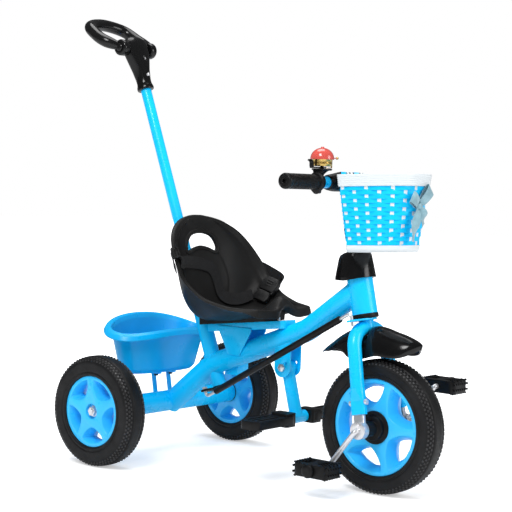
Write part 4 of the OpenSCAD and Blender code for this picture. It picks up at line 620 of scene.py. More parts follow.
SEAT_ROWS = np.array([
    [1.000, 0.176, 0.958, 0.630, 0.190, 0.060], [0.975, 0.168, 0.905, 0.705, 0.190, 0.110],
    [0.915, 0.150, 0.840, 0.770, 0.192, 0.140], [0.800, 0.106, 0.725, 0.850, 0.204, 0.080],
    [0.590, 0.056, 0.550, 0.940, 0.258, 0.000], [0.400, 0.034, 0.440, 0.980, 0.336, 0.000],
    [0.265, 0.030, 0.358, 1.000, 0.416, 0.000], [0.190, 0.080, 0.308, 0.998, 0.500, 0.000],
    [0.150, 0.175, 0.260, 0.965, 0.585, 0.000], [0.118, 0.300, 0.204, 0.915, 0.680, 0.000],
    [0.088, 0.430, 0.155, 0.845, 0.765, 0.000], [0.064, 0.560, 0.114, 0.745, 0.836, 0.000],
    [0.045, 0.690, 0.080, 0.625, 0.888, 0.000], [0.028, 0.820, 0.050, 0.480, 0.932, 0.000],
    [0.014, 0.908, 0.026, 0.330, 0.960, 0.000], [0.000, 0.985, 0.004, 0.170, 0.978, 0.000],
])
SEAT_TOP = len(SEAT_ROWS) - 1
SEAT_W, SEAT_DEPTH, SEAT_H, SEAT_BACK_X, SEAT_FOOT_Z, SEAT_T = 252.0, 238.0, 212.0, 61.0, 286.0, 5.0
SEAT_POMMEL_HALF, SEAT_EDGE_R, SEAT_EDGE_T, SEAT_EDGE_DROP, SEAT_FRONT_ROWS = 40, 5.5, 3.4, 9, 1.5
SEAT_DISC_Z, SEAT_DISC_HALF_W, SEAT_DISC_HALF_H = 372, 66, 70
SEAT_ROLL_RISE, SEAT_DISC_RISE, SEAT_GROOVE_DEPTH = 2.2, 1.7, 0.9
SEAT_BEND_ROW, SEAT_BACK_ROW, SEAT_LAST_SURE_ROW = 7, 8, 14.6
SEAT_HOLE_Z, SEAT_LIP_R = 443.5, 5.2
SEAT_HOLE = np.array([
    [-1.0, -0.25], [-0.93, -0.46], [-0.78, -0.5], [-0.45, -0.36], [0.0, -0.27], [0.45, -0.36], [0.78, -0.5],
    [0.93, -0.46], [1.0, -0.25], [0.9, 0.08], [0.68, 0.36], [0.36, 0.5], [0.0, 0.54], [-0.36, 0.5],
    [-0.68, 0.36], [-0.9, 0.08],
]) * (49.0, 43.0)
RAIL_FRONT_X, RAIL_TOP_Z = SEAT_BACK_X + SEAT_DEPTH + 11, 303.4
FOOT_ROWS, FOOT_SHARE, FOOT_DRAFT = (2.4, 6.6), 0.3, 0.96


def seat_at(v, u):
    """A point of the seat's upper face: v along its rows, u from the right edge to the left one."""
    v, u = np.broadcast_arrays(np.asarray(v, float), np.asarray(u, float))
    v = np.clip(v, 0, SEAT_TOP)
    i = np.minimum(np.floor(v).astype(int), SEAT_TOP - 1)
    near_rows = (SEAT_ROWS[np.clip(i + k, 0, SEAT_TOP)] for k in (-1, 0, 1, 2))
    row = spline(*near_rows, (v - i)[..., None])
    lift = np.abs(u) ** 2.7
    y = row[..., 3] * SEAT_W / 2 * np.sign(u) * np.abs(u) ** 0.9
    near = np.maximum(0, 1 - (y / SEAT_POMMEL_HALF) ** 2)
    x = SEAT_BACK_X + SEAT_DEPTH * (row[..., 0] + (row[..., 2] - row[..., 0]) * lift)
    z = SEAT_FOOT_Z + SEAT_H * (row[..., 1] + (row[..., 4] - row[..., 1]) * lift + row[..., 5] * near ** 2)
    return np.stack([x, y, z], -1)


def seat_normal(v, u):
    v, u = np.broadcast_arrays(np.asarray(v, float), np.asarray(u, float))
    dv = seat_at(np.clip(v + 0.1, 0, SEAT_TOP), u) - seat_at(np.clip(v - 0.1, 0, SEAT_TOP), u)
    du = seat_at(v, np.clip(u + 0.02, -1, 1)) - seat_at(v, np.clip(u - 0.02, -1, 1))
    return unit(np.cross(du, dv))


def back_vu(y, z):
    """The row and share of the seat's back at a given width and height."""
    v, u = 12.0, 0.0
    for _ in range(40):
        p = seat_at(v, u)
        dv = (seat_at(v + 0.01, u) - p) / 0.01
        du = (seat_at(v, u + 0.01) - p) / 0.01
        step = np.linalg.solve(np.stack([dv[1:], du[1:]], 1), [y - p[1], z - p[2]])
        v, u = float(np.clip(v + 0.7 * step[0], 7, 14.9)), float(np.clip(u + 0.7 * step[1], -0.99, 0.99))
    return v, u


def make_seat():
    rows = np.concatenate([np.linspace(0, 4, 41)[:-1], np.linspace(4, SEAT_TOP, 89)])
    cols = np.sin(np.linspace(-1, 1, 85) * math.pi / 2) * 0.35 + np.linspace(-1, 1, 85) * 0.65
    v, u = np.meshgrid(rows, cols, indexing="ij")
    m, n = v.shape
    ring = border(m, n)
    sheet = seat_at(v, u)
    # the rows close up at the back's top corners, so the way the skin faces there is read nearer the middle
    calm = ramp(v, 11.5, 2.5)
    normal = seat_normal(np.minimum(v, SEAT_LAST_SURE_ROW), u * (1 - 0.5 * calm))
    face = eased(normal.reshape(-1, 3)[ring], 24)
    normal.reshape(-1, 3)[ring] = face

    # a raised roll runs round the edge, and a shallow disc with a groove round it is pressed into the back
    edge = np.minimum(1 - np.abs(u), np.where(v > SEAT_BEND_ROW, (SEAT_TOP - v) / SEAT_TOP, 1))
    roll = np.exp(-((edge - 0.055) / 0.035) ** 2) * ramp(v, 1.2, 2)
    disc_r = np.hypot(sheet[..., 1] / SEAT_DISC_HALF_W, (sheet[..., 2] - SEAT_DISC_Z) / SEAT_DISC_HALF_H)
    on_back = ramp(v, 7.5, 1.2)
    disc = on_back * (1 / (1 + np.exp((disc_r - 1) * 42)))
    groove = on_back * np.exp(-((disc_r - 1.035) / 0.02) ** 2)
    rise = SEAT_ROLL_RISE * roll + SEAT_DISC_RISE * disc - SEAT_GROOVE_DEPTH * groove
    upper = sheet + normal * rise[..., None]
    lower = sheet - normal * SEAT_T

    # the edge is rolled over into a skirt, deeper at the front, with an inner face of its own
    rim = upper.reshape(-1, 3)[ring]
    out = unit(np.cross(eased(tangents(rim, closed=True), 16), face))
    drop = SEAT_EDGE_DROP * (1 + ramp(-v.ravel()[ring], -SEAT_FRONT_ROWS, SEAT_FRONT_ROWS))
    bands = [
        rim + out * SEAT_EDGE_R * math.sin(a) - face * SEAT_EDGE_R * (1 - math.cos(a))
        for a in np.linspace(0, math.pi / 2, 5)[1:]
    ]
    crest, skirt = bands[-1], bands[-1] - face * (drop - SEAT_EDGE_R)[:, None]
    bands += [skirt, skirt - out * SEAT_EDGE_T, crest - out * SEAT_EDGE_T - face * 1.5]

    # the hand hole is cut through both faces and walled
    outline = smooth_line(SEAT_HOLE, 6, closed=True)
    middle = (sheet[:-1, :-1] + sheet[1:, 1:]) / 2
    kept = ~(inside(middle[..., 1:] - (0, SEAT_HOLE_Z), outline) & (v[:-1, :-1] > SEAT_BACK_ROW))
    quads = [f for f, keep in zip(grid(upper)[1], kept.ravel()) if keep]
    below = m * n
    faces = quads + [tuple(i + below for i in f[::-1]) for f in quads]
    for j, i in zip(*np.nonzero(kept[1:] != kept[:-1])):
        a = (j + 1) * n + i
        faces.append((a, a + 1, a + 1 + below, a + below))
    for j, i in zip(*np.nonzero(kept[:, 1:] != kept[:, :-1])):
        a = j * n + i + 1
        faces.append((a, a + n, a + n + below, a + below))
    count = len(ring)
    loops = [ring] + [2 * below + b * count + np.arange(count) for b in range(len(bands))] + [ring + below]
    for a, b in zip(loops, loops[1:]):
        faces += zip(a, b, np.roll(b, -1), np.roll(a, -1))
    verts = np.concatenate([upper.reshape(-1, 3), lower.reshape(-1, 3), *bands])
    piece("bucket_seat", [(verts, faces)], "gloss_black", "frame", "seat_shell", 50)

    lip = np.array([back_vu(y, SEAT_HOLE_Z + z) for y, z in outline]).T
    face = seat_normal(*lip)
    bead = swept(seat_at(*lip) - face * (SEAT_T / 2 - 0.8), circle_outline(SEAT_LIP_R, 20), face, closed=True)
    piece("hand_hole_lip", [bead], "gloss_black", "frame", sharp=70)


def make_seat_foot():
    """The block moulded under the seat that rests on the sloping rail."""
    v, u = np.meshgrid(np.linspace(*FOOT_ROWS, 30), np.linspace(-FOOT_SHARE, FOOT_SHARE, 13), indexing="ij")
    top = seat_at(v, u) - seat_normal(v, u) * (SEAT_T - 1)
    rail = RAIL_TOP_Z - (RAIL_FRONT_X - top[..., 0]) * math.tan(RAIL_RISE)
    foot = np.stack([top[..., 0], top[..., 1] * FOOT_DRAFT, np.minimum(rail, top[..., 2] - 1)], -1)
    piece("seat_foot", [plate(top, foot)], "gloss_black", "frame", sharp=40)


make_seat()
make_seat_foot()


# Node trees for what repeats

class Tree:
    """A small geometry node tree with named sizes and a finish."""

    def __init__(self, name, *sizes):
        self.tree = bpy.data.node_groups.new(name, "GeometryNodeTree")
        face = self.tree.interface
        face.new_socket("Geometry", in_out="INPUT", socket_type="NodeSocketGeometry")
        face.new_socket("Geometry", in_out="OUTPUT", socket_type="NodeSocketGeometry")
        kinds = [(size, "Float") for size in sizes] + [("Finish", "Material")]
        self.ids = {
            key: face.new_socket(key, in_out="INPUT", socket_type="NodeSocket" + kind).identifier for key, kind in kinds
        }
        self.given = self.tree.nodes.new("NodeGroupInput").outputs
        self.end = self.tree.nodes.new("NodeGroupOutput").inputs["Geometry"]

    def add(self, kind, links=None, out=0, **settings):
        return add_node(self.tree, kind, links, out, **settings)

    def named(self, name):
        return self.add("GeometryNodeInputNamedAttribute", {"Name": name}, "Attribute", data_type="FLOAT_VECTOR")

    def block_size(self):
        return self.add("ShaderNodeCombineXYZ", {i: self.given[k] for i, k in enumerate(("Length", "Width", "Height"))})

    def close(self, geometry):
        real = self.add("GeometryNodeRealizeInstances", {"Geometry": geometry})
        coat = self.add("GeometryNodeSetMaterial", {"Geometry": real, "Material": self.given["Finish"]})
        self.tree.links.new(coat, self.end)
        return self

    def set_on_points(self, shape):
        """The shape on each point, facing out along the point's own normal and lying along its own direction."""
        align = "FunctionNodeAlignEulerToVector"
        face = self.add(align, {"Vector": self.named("facing")}, axis="Z")
        turn = self.add(align, {"Rotation": face, "Vector": self.named("along")}, axis="X", pivot_axis="Z")
        points = self.add("GeometryNodeMeshToPoints", {"Mesh": self.given["Geometry"]})
        links = {"Points": points, "Instance": shape, "Rotation": turn}
        return self.close(self.add("GeometryNodeInstanceOnPoints", links))

    def run(self, name, finish, body, places, stands_for=None, edges=(), ways=None, **sizes):
        """Makes a piece from guide points, with the ways that each of them faces and lies."""
        mesh = mesh_of(name, places, [], edges)
        for key, values in ways.items():
            layer = mesh.attributes.new(key, "FLOAT_VECTOR", "POINT")
            layer.data.foreach_set("vector", unit(values).astype(np.float32).ravel())
        obj = linked(name, mesh)
        mod = obj.modifiers.new("nodes", "NODES")
        mod.node_group = self.tree
        for key, value in {**sizes, "Finish": FINISH[finish]}.items():
            mod[self.ids[key]] = value
        obj.data = baked(obj)
        return finished(obj, finish, body, stands_for)

    def strips(self, name, finish, body, lines, facings, stands_for=None, closed=False, **sizes):
        """Makes a piece from lines of points."""
        start, edges = 0, []
        for line in lines:
            n = len(line)
            edges += [(start + i, start + (i + 1) % n) for i in range(n if closed else n - 1)]
            start += n
        ways = {"facing": np.concatenate(facings)}
        return self.run(name, finish, body, np.concatenate(lines), stands_for, edges, ways, **sizes)

    def row(self, name, finish, body, spots, **sizes):
        """Makes a piece from spots, each with its place, the way it faces and the way it lies."""
        places, facing, along = zip(*spots)
        return self.run(name, finish, body, places, ways={"facing": facing, "along": along}, **sizes)


def block_row_tree():
    """Blocks drawn in towards their tops."""
    t = Tree("block_row", "Length", "Width", "Height", "Taper")
    cube = t.add("GeometryNodeMeshCube", {"Size": t.block_size()})
    place = t.add("GeometryNodeInputPosition")
    height = t.add("ShaderNodeSeparateXYZ", {"Vector": place}, "Z")
    top = t.add("FunctionNodeCompare", {"A": height, "B": 0.0}, data_type="FLOAT", operation="GREATER_THAN")
    shrink = t.add("ShaderNodeCombineXYZ", {"X": t.given["Taper"], "Y": t.given["Taper"], "Z": 1.0})
    drawn = t.add("ShaderNodeVectorMath", {0: place, 1: shrink}, operation="MULTIPLY")
    return t.set_on_points(t.add("GeometryNodeSetPosition", {"Geometry": cube, "Selection": top, "Position": drawn}))


def bead_row_tree():
    """Flattened beads, for weld runs and stitches."""
    t = Tree("bead_row", "Length", "Width", "Height")
    ball = t.add("GeometryNodeMeshIcoSphere", {"Radius": 0.5, "Subdivisions": 2})
    return t.set_on_points(t.add("GeometryNodeTransform", {"Geometry": ball, "Scale": t.block_size()}))


def strip_tree():
    """Flat rounded strips along lines, turned to face each point's own direction."""
    t = Tree("flat_strips", "Width", "Thickness", "Rounding")
    line = t.add("GeometryNodeMeshToCurve", {"Mesh": t.given["Geometry"]})
    curve = t.add("GeometryNodeSetCurveNormal", {"Curve": line, "Normal": t.named("facing")}, mode="FREE")
    sizes = {"Width": t.given["Thickness"], "Height": t.given["Width"]}
    section = t.add("GeometryNodeCurvePrimitiveQuadrilateral", sizes)
    fillet = {"Curve": section, "Radius": t.given["Rounding"], "Count": 3}
    profile = t.add("GeometryNodeFilletCurve", fillet, mode="POLY")
    return t.close(t.add("GeometryNodeCurveToMesh", {"Curve": curve, "Profile Curve": profile, "Fill Caps": True}))


BLOCKS = block_row_tree()
BEADS = bead_row_tree()
STRIPS = strip_tree()


# Wheels: the rows of lugs have a drop from the tread, an inset from the side and a lean

LUG_ROWS = ((2.7, 9.4, 30), (4.9, 5.9, 46), (8.3, 2.7, 64))
LUG = dict(Length=0.0046, Width=0.0036, Height=0.0034, Taper=0.72)
# Each tyre's radius, width, bore and number of lugs in a row
FRONT_TYRE, REAR_TYRE = (FRONT_R, 54.0, 90.0, 92), (REAR_R, 52.0, 70.0, 80)


def tyre_section(r, w, bore):
    """The foam tyre's section: flat tread, rounded shoulders, a step in the side wall and a bead lip."""
    h = w / 2
    half = [
        (bore + 0.3, h - 1.5), (bore + 3.5, h), (bore + 6.0, h), (bore + 7.0, h - 1.3), (bore + 9.0, h - 1.3),
        (bore + 10.5, h), (r - 13.5, h), (r - 7.8, h - 2.4), (r - 3.8, h - 6.6), (r - 2.0, h - 10.6),
        (r - 3.2, h - 12.0), (r - 3.2, h - 13.8), (r - 0.9, h - 15.2), (r, h - 19.0),
    ]
    outline = half + [(a, -b) for a, b in half[::-1]]
    return rounded_section(outline, [1.2, 1.2, 1, 0.6, 0.6, 1.2, 5, 6, 3, 0.8, 0.4, 0.4, 1.2, 3] * 2, 3)


def make_tyre(name, node, body, centre, r, w, bore, lugs):
    tyre = revolved(tyre_section(r, w, bore), centre, steps=160)
    piece(name, [tyre], "tyre_rubber", body, node, 40)
    spots = []
    for side in (-1, 1):
        beside = np.array([0, side, 0])
        for row, (drop, inset, lean) in enumerate(LUG_ROWS):
            tilt = math.radians(lean)
            for i in range(lugs):
                a = 2 * math.pi * (i + 0.5 * row + (0.25 if side > 0 else 0)) / lugs
                spoke = np.array([math.cos(a), 0, math.sin(a)])
                place = np.asarray(centre) + spoke * (r - drop) + np.array([0, side * (w / 2 - inset), 0])
                facing = spoke * math.cos(tilt) + beside * math.sin(tilt)
                spots.append((place, facing, np.cross(beside, spoke)))
    # the lugs take the lighter rubber colour as a painted highlight on the knobs
    BLOCKS.row(name + "_tread", "lug_rubber_painted_highlight", body, spots, **LUG)


make_tyre("front_wheel_tyre", "front_tyre", "front_wheel", FRONT_AXLE, *FRONT_TYRE)
for hand, y in (("right", -REAR_WHEEL_Y), ("left", REAR_WHEEL_Y)):
    centre = (0, y, REAR_R)
    make_tyre(f"{hand}_wheel_tyre", f"rear_tyre_{hand}", f"rear_wheel_{hand}", centre, *REAR_TYRE)


# Mudguard: rows of angle round the front wheel, and shares of its radius and half width at the ridge and the edge

GUARD_HALF_W, GUARD_T = 34, 2.5
GUARD_ROWS = np.array([
    [62.5, 1.425, 1.330, 0.08], [64.0, 1.428, 1.262, 0.45], [67.0, 1.430, 1.180, 0.78], [71.0, 1.430, 1.122, 0.93],
    [76.0, 1.431, 1.088, 0.98], [82.0, 1.436, 1.072, 1.00], [88.0, 1.462, 1.064, 1.00], [93.0, 1.482, 1.048, 1.00],
    [96.5, 1.478, 1.034, 1.00], [98.0, 1.462, 1.028, 1.00], [99.6, 1.388, 1.024, 1.00], [101.0, 1.368, 1.022, 1.00],
    [102.8, 1.361, 1.024, 1.00], [104.6, 1.368, 1.032, 1.00], [106.0, 1.388, 1.040, 1.00],
    [107.6, 1.462, 1.050, 1.00], [109.2, 1.492, 1.062, 1.00], [113.0, 1.502, 1.082, 1.00],
    [116.0, 1.500, 1.120, 1.00], [118.0, 1.496, 1.200, 0.97], [122.0, 1.490, 1.262, 0.90],
    [126.0, 1.484, 1.310, 0.78], [131.0, 1.488, 1.390, 0.58], [137.0, 1.500, 1.470, 0.28],
])


def make_mudguard():
    turn, ridge, edge, width = smooth_line(GUARD_ROWS, 4).T[..., None]
    sweep = np.radians(np.linspace(-90, 90, 61))[None]
    turn = np.radians(turn)
    r = FRONT_R * (edge + (ridge - edge) * np.cos(sweep))
    y = GUARD_HALF_W * width * np.sin(sweep)
    outer = np.stack([WHEELBASE + r * np.cos(turn), y, FRONT_R + r * np.sin(turn)], 2)
    normal = unit(np.cross(np.gradient(outer, axis=0), np.gradient(outer, axis=1)))
    piece("wheel_guard", [plate(outer, outer + normal * GUARD_T)], "polished_black", "steering", "mudguard", 50)


make_mudguard()


# Front basket: cyan strips woven in and out of white stakes, between a white rim and a white base

BASKET_H, BASKET_FLOOR_Z, BASKET_BACK, BASKET_Y = 142.0, 444.994, 463.309, 4.0
BASKET_HALF_W, BASKET_DEPTH, BASKET_REAR, BASKET_POWER = 86.0, 138.0, 16.0, 0.78
BASKET_STAKES, BASKET_ROWS, WEAVE_STEPS, WEAVE_INSET = 20, 14, 12, 1.6
WEAVE_LOW, WEAVE_HIGH = 13.0 / BASKET_H, 1 - 22.0 / BASKET_H
WEAVE_SWING, WEAVE_FLATNESS, WEAVE_LAP, STAKE_LAP, STAKE_STEPS = 0.62, 0.4, 0.1, 0.03, 12
WEAVE_STRIP, STAKE = dict(Thickness=0.0013, Rounding=0.0005), dict(Width=0.0070, Thickness=0.0007, Rounding=0.0003)


def basket_line(share, inset, count=240):
    """An even line of points round the basket at a share of its height."""
    half_w = BASKET_HALF_W * (0.68 + 0.32 * share) - inset
    depth = BASKET_DEPTH * (0.84 + 0.16 * share) - 2 * inset
    back = BASKET_BACK + 8.0 * (1 - share) + inset
    rear = BASKET_REAR - inset
    a = angles(720)
    x = back + rear + np.where(np.cos(a) > 0, depth - rear, rear) * power(np.cos(a), BASKET_POWER)
    y = half_w * power(np.sin(a), BASKET_POWER) - BASKET_Y
    z = BASKET_FLOOR_Z + BASKET_H * share + (x - BASKET_BACK) * math.tan(BASKET_RISE)
    return spaced(np.stack([x, y, z], 1), count, closed=True)


def outward(line):
    return unit(np.cross(tangents(line, closed=True), UP))


def make_basket():
    low, high, per = WEAVE_LOW, WEAVE_HIGH, WEAVE_STEPS
    count = BASKET_STAKES * per
    strips = []
    for k in range(BASKET_ROWS):
        line = basket_line(low + (high - low) * (k + 0.5) / BASKET_ROWS, WEAVE_INSET, count)
        wave = np.cos((np.arange(count) + per / 2) * math.pi / per + math.pi * k)
        strips.append(line + outward(line) * (WEAVE_SWING * power(wave, WEAVE_FLATNESS))[:, None])
    height = (high - low) * BASKET_H / BASKET_ROWS
    STRIPS.strips(
        "basket_weave", "cyan_strip", "steering", strips, [outward(line) for line in strips], "basket_wall", True,
        Width=(height + WEAVE_LAP) * MM, **WEAVE_STRIP,
    )
    ends = (low - STAKE_LAP, high + STAKE_LAP)
    feet, tops = (basket_line(share, WEAVE_INSET, count)[per // 2::per] for share in ends)
    out = outward(basket_line(0.5, WEAVE_INSET, count))[per // 2::per]
    STRIPS.strips(
        "basket_stakes", "white_plastic", "steering", [np.linspace(a, b, STAKE_STEPS) for a, b in zip(feet, tops)],
        [np.repeat(o[None], STAKE_STEPS, 0) for o in out], **STAKE,
    )

    # sections of the rim, with five ribs, and of the base, as shares of the height and insets
    rim = [(high, -1.2), (high + 0.008, -1.7)]
    for k in range(5):
        foot = high + 0.014 + k * 0.0262
        rim += [(foot, -1.2), (foot + 0.006, -1.75), (foot + 0.0145, -1.75), (foot + 0.0205, -1.2)]
    rim += [(0.994, -1.6), (1.0, -0.9), (1.0, 2.8), (0.995, 3.5), (high + 0.004, 3.5), (high, 3.0)]
    base = [
        (0.0, 2.0), (0.006, 0.4), (0.03, -0.6), (0.036, -1.2), (0.058, -1.4), (0.064, -1.0), (0.086, -1.5),
        (low, -1.4), (low, 3.5), (0.03, 4.5),
    ]
    parts = [ring_skin([basket_line(*spot) for spot in section]) for section in (rim, base)]
    over, under = basket_line(0.021, 5.0), basket_line(0.004, 2.0)
    shares = (1.0, 0.9, 0.6, 0.3, 0.02)
    floor = [over * s + over.mean(0) * (1 - s) for s in shares]
    floor += [under * s + under.mean(0) * (1 - s) for s in shares[::-1]]
    piece("basket_rim_and_base", [*parts, ring_skin(floor)], "white_plastic", "steering", "basket_frame", 60)


make_basket()


# Rear tub and head cover

TUB_HALF_W, TUB_HALF_LEN, TUB_WALL, TUB_H, TUB_LIP, TUB_CORNER = 56.0, 128.0, 3.0, 106.0, 13.0, 8.0
TUB_X, TUB_Z, TUB_POWER, TUB_SLOPE, TUB_SAG = -41, 168, 0.86, 12, 16
TUB_FLUTES, TUB_FLUTE_DEPTH = 10, 0.012
COWL_FOOT, COWL_H, COWL_CLEAR, COWL_HOLE, COWL_TAIL_X, COWL_TAIL_RISE = 276.0, 53.0, 25.5, 11.45, 14, 0.2


def make_tub():
    w, length, wall, h, lip, corner = TUB_HALF_W, TUB_HALF_LEN, TUB_WALL, TUB_H, TUB_LIP, TUB_CORNER
    fw, fl = w * 0.76, length * 0.8
    rings = [
        (1, 1, 0.6, 0), (fw - corner, fl - corner, 0, 0), (fw, fl, corner, 0), (w - wall, length - wall, h - 10, 1),
        (w, length, h - wall, 1), (w + lip * 0.6, length + lip * 0.6, h - wall - 3, 1),
        (w + lip - wall / 2, length + lip - wall / 2, h - 13, 1), (w + lip, length + lip, h - 10, 1),
        (w + lip * 0.7, length + lip * 0.7, h - 2.5, 1), (w + wall / 3, length + wall / 3, h, 1),
        (w - wall, length - wall, h - wall / 2, 1), (w - 2 * wall, length - 2 * wall, h - 10, 1),
        (fw - wall, fl - wall, wall + corner, 0), (fw - wall - corner, fl - wall - corner, wall, 0), (1, 1, wall, 0),
    ]
    a = angles(200)

    def line(half_w, half_len, z, tilt):
        x, y = half_w * power(np.cos(a), TUB_POWER), half_len * power(np.sin(a), TUB_POWER)
        lean = -x * TUB_SLOPE / w - TUB_SAG * (y / length) ** 2
        flute = 1 - TUB_FLUTE_DEPTH * np.cos(a * TUB_FLUTES) * ramp(z, 12, 20) * (1 if tilt < 0.98 else 0)
        return np.stack([TUB_X + x * flute, y * flute, TUB_Z + z + tilt * lean], 1)

    rings = rounded_section(rings, [0, 5, 5, 3, 2, 4, 0.8, 1.2, 5, 4, 5, 6, 5, 5, 0], 4)
    piece("rear_tub_moulding", [ring_skin([line(*r) for r in rings])], "tub_plastic", "frame", "rear_tub", 60)


def make_head_cover():
    h, clear, hole = COWL_H, COWL_CLEAR, COWL_HOLE
    rings = [
        (29, 51, 35, 0), (29, 49.5, 34.6, h * 0.12), (29, 43, 32.4, h * 0.45), (28.6, 35.5, 30, h * 0.8),
        (27, 31.5, 27.5, h * 0.92), (21.5, 23.5, 21.5, h * 0.985), (hole,) * 3 + (h,),
        (hole,) * 3 + (h - 5,), (clear - 2.5,) * 3 + (h - 10,), (clear,) * 3 + (10,), (clear,) * 3 + (0,),
    ]
    a = angles(120)
    c, n = math.cos(HEAD_LEAN), math.sin(HEAD_LEAN)

    def line(front, rear, side, s):
        x, y = np.where(np.cos(a) > 0, front, rear) * np.cos(a), side * np.sin(a)
        s = COWL_FOOT + s + np.clip(-x - COWL_TAIL_X, 0, None) * COWL_TAIL_RISE * (1 - s / h)
        return np.stack([WHEELBASE + x * c - s * n, y, FRONT_R + x * n + s * c], 1)

    rings = rounded_section(rings, [0.8, 3, 14, 8, 4, 4, 0.8, 0.5, 2, 1, 0.4], 4)
    piece("head_cowl", [ring_skin([line(*r) for r in rings])], "polished_black", "steering", "head_cover", 50)


make_tub()
make_head_cover()


# Handlebar fittings

GRIP_FLANGE_R, GRIP_LOBE = 15.5, 0.2
COVER_HALF_LEN, COVER_R, RIDGE_R, RIDGE_HALF_LEN, RIDGE_END = 60, 16.5, 10.5, 34, 21
RIDGE = np.array([12.0, 0, 9.5])
BELL_Y, BELL_TURN = -76, math.radians(-14)


def make_grips():
    profile = [(11.2, 88.4), (17.4, 88.4), (18.5, 89.6), (18.5, 92.4), (17.2, 93.9), (14.4, 94.6), (13.6, 97.0)]
    for y in np.arange(99, 174, 3.6):
        profile += [(13.6, y), (14.2, y + 0.7), (14.2, y + 2.1), (13.6, y + 2.8)]
    profile += [
        (13.5, 176), (14.5, 178), (14.5, 184.6), (13.6, 186.8), (11.4, 188), (9.6, 188), (9.0, 187.2),
        (5.6, 187.2), (5.0, 187.9), (4.2, 187.2), (4.2, 182.7), (0, 182.7), (0, 182.3), (11.2, 182.3),
    ]
    for side, hand in ((-1, "right"), (1, "left")):
        verts, faces = revolved(profile, BAR, steps=72, side=side)
        # the flange hangs lower in a lobe
        ray = (verts - BAR) * (1, 0, 1)
        r = np.maximum(np.linalg.norm(ray, axis=1, keepdims=True), 1e-6)
        lobe = np.clip(-ray[:, 2:] / r, 0, 1) ** 12
        verts = verts + ray * np.where(r > GRIP_FLANGE_R, GRIP_LOBE * lobe, 0)
        piece(f"{hand}_grip", [(verts, faces)], "black_plastic", "steering", f"grip_{hand}", 40)


def cover_point(y, turn, proud=0.0):
    """A point of the bar cover's skin: the tight wrap of the bar's round and the ridge ahead of it."""
    y, turn = np.broadcast_arrays(np.asarray(y, float), np.asarray(turn, float))
    k = np.abs(y) / COVER_HALF_LEN
    round_r = COVER_R - 3 * ramp(k, 0.6, 0.4) ** 1.7 - 2.5 * ramp(k, 0.95, 0.05) ** 2
    ridge_r = RIDGE_R * np.sqrt(1 - ramp(np.abs(y), RIDGE_HALF_LEN, RIDGE_END) ** 2)
    way = np.stack([np.cos(turn), np.zeros_like(y), np.sin(turn)], -1)
    on_ridge = (way @ RIDGE + ridge_r > round_r)[..., None]
    out = np.where(on_ridge, RIDGE + way * ridge_r[..., None], way * round_r[..., None])
    return BAR + out + way * proud + np.stack([0 * y, y, 0 * y], -1)


def make_bar_cover():
    y, turn = np.meshgrid(np.linspace(-COVER_HALF_LEN, COVER_HALF_LEN, 91), angles(120), indexing="ij")
    piece("bar_cover", [tube(cover_point(y, turn))], "black_plastic", "steering", "bar_pad", 50)
    for name, finish, bars in (
        ("bar_cover_blue_inlays", "azure_paint", ((-40, 15), (2, 15))),
        ("bar_cover_white_inlays", "white_plastic", ((-21, 5), (-10, 5), (22, 5), (32, 5))),
    ):
        parts = []
        for start, width in bars:
            across, run = np.meshgrid(np.linspace(0.15, 2.35, 24), np.linspace(0, width, 9), indexing="ij")
            along = start + run + 9 * (across - 0.9)
            parts.append(plate(cover_point(along, across, 0.7), cover_point(along, across, -0.6)))
        piece(name, parts, finish, "steering", sharp=50)


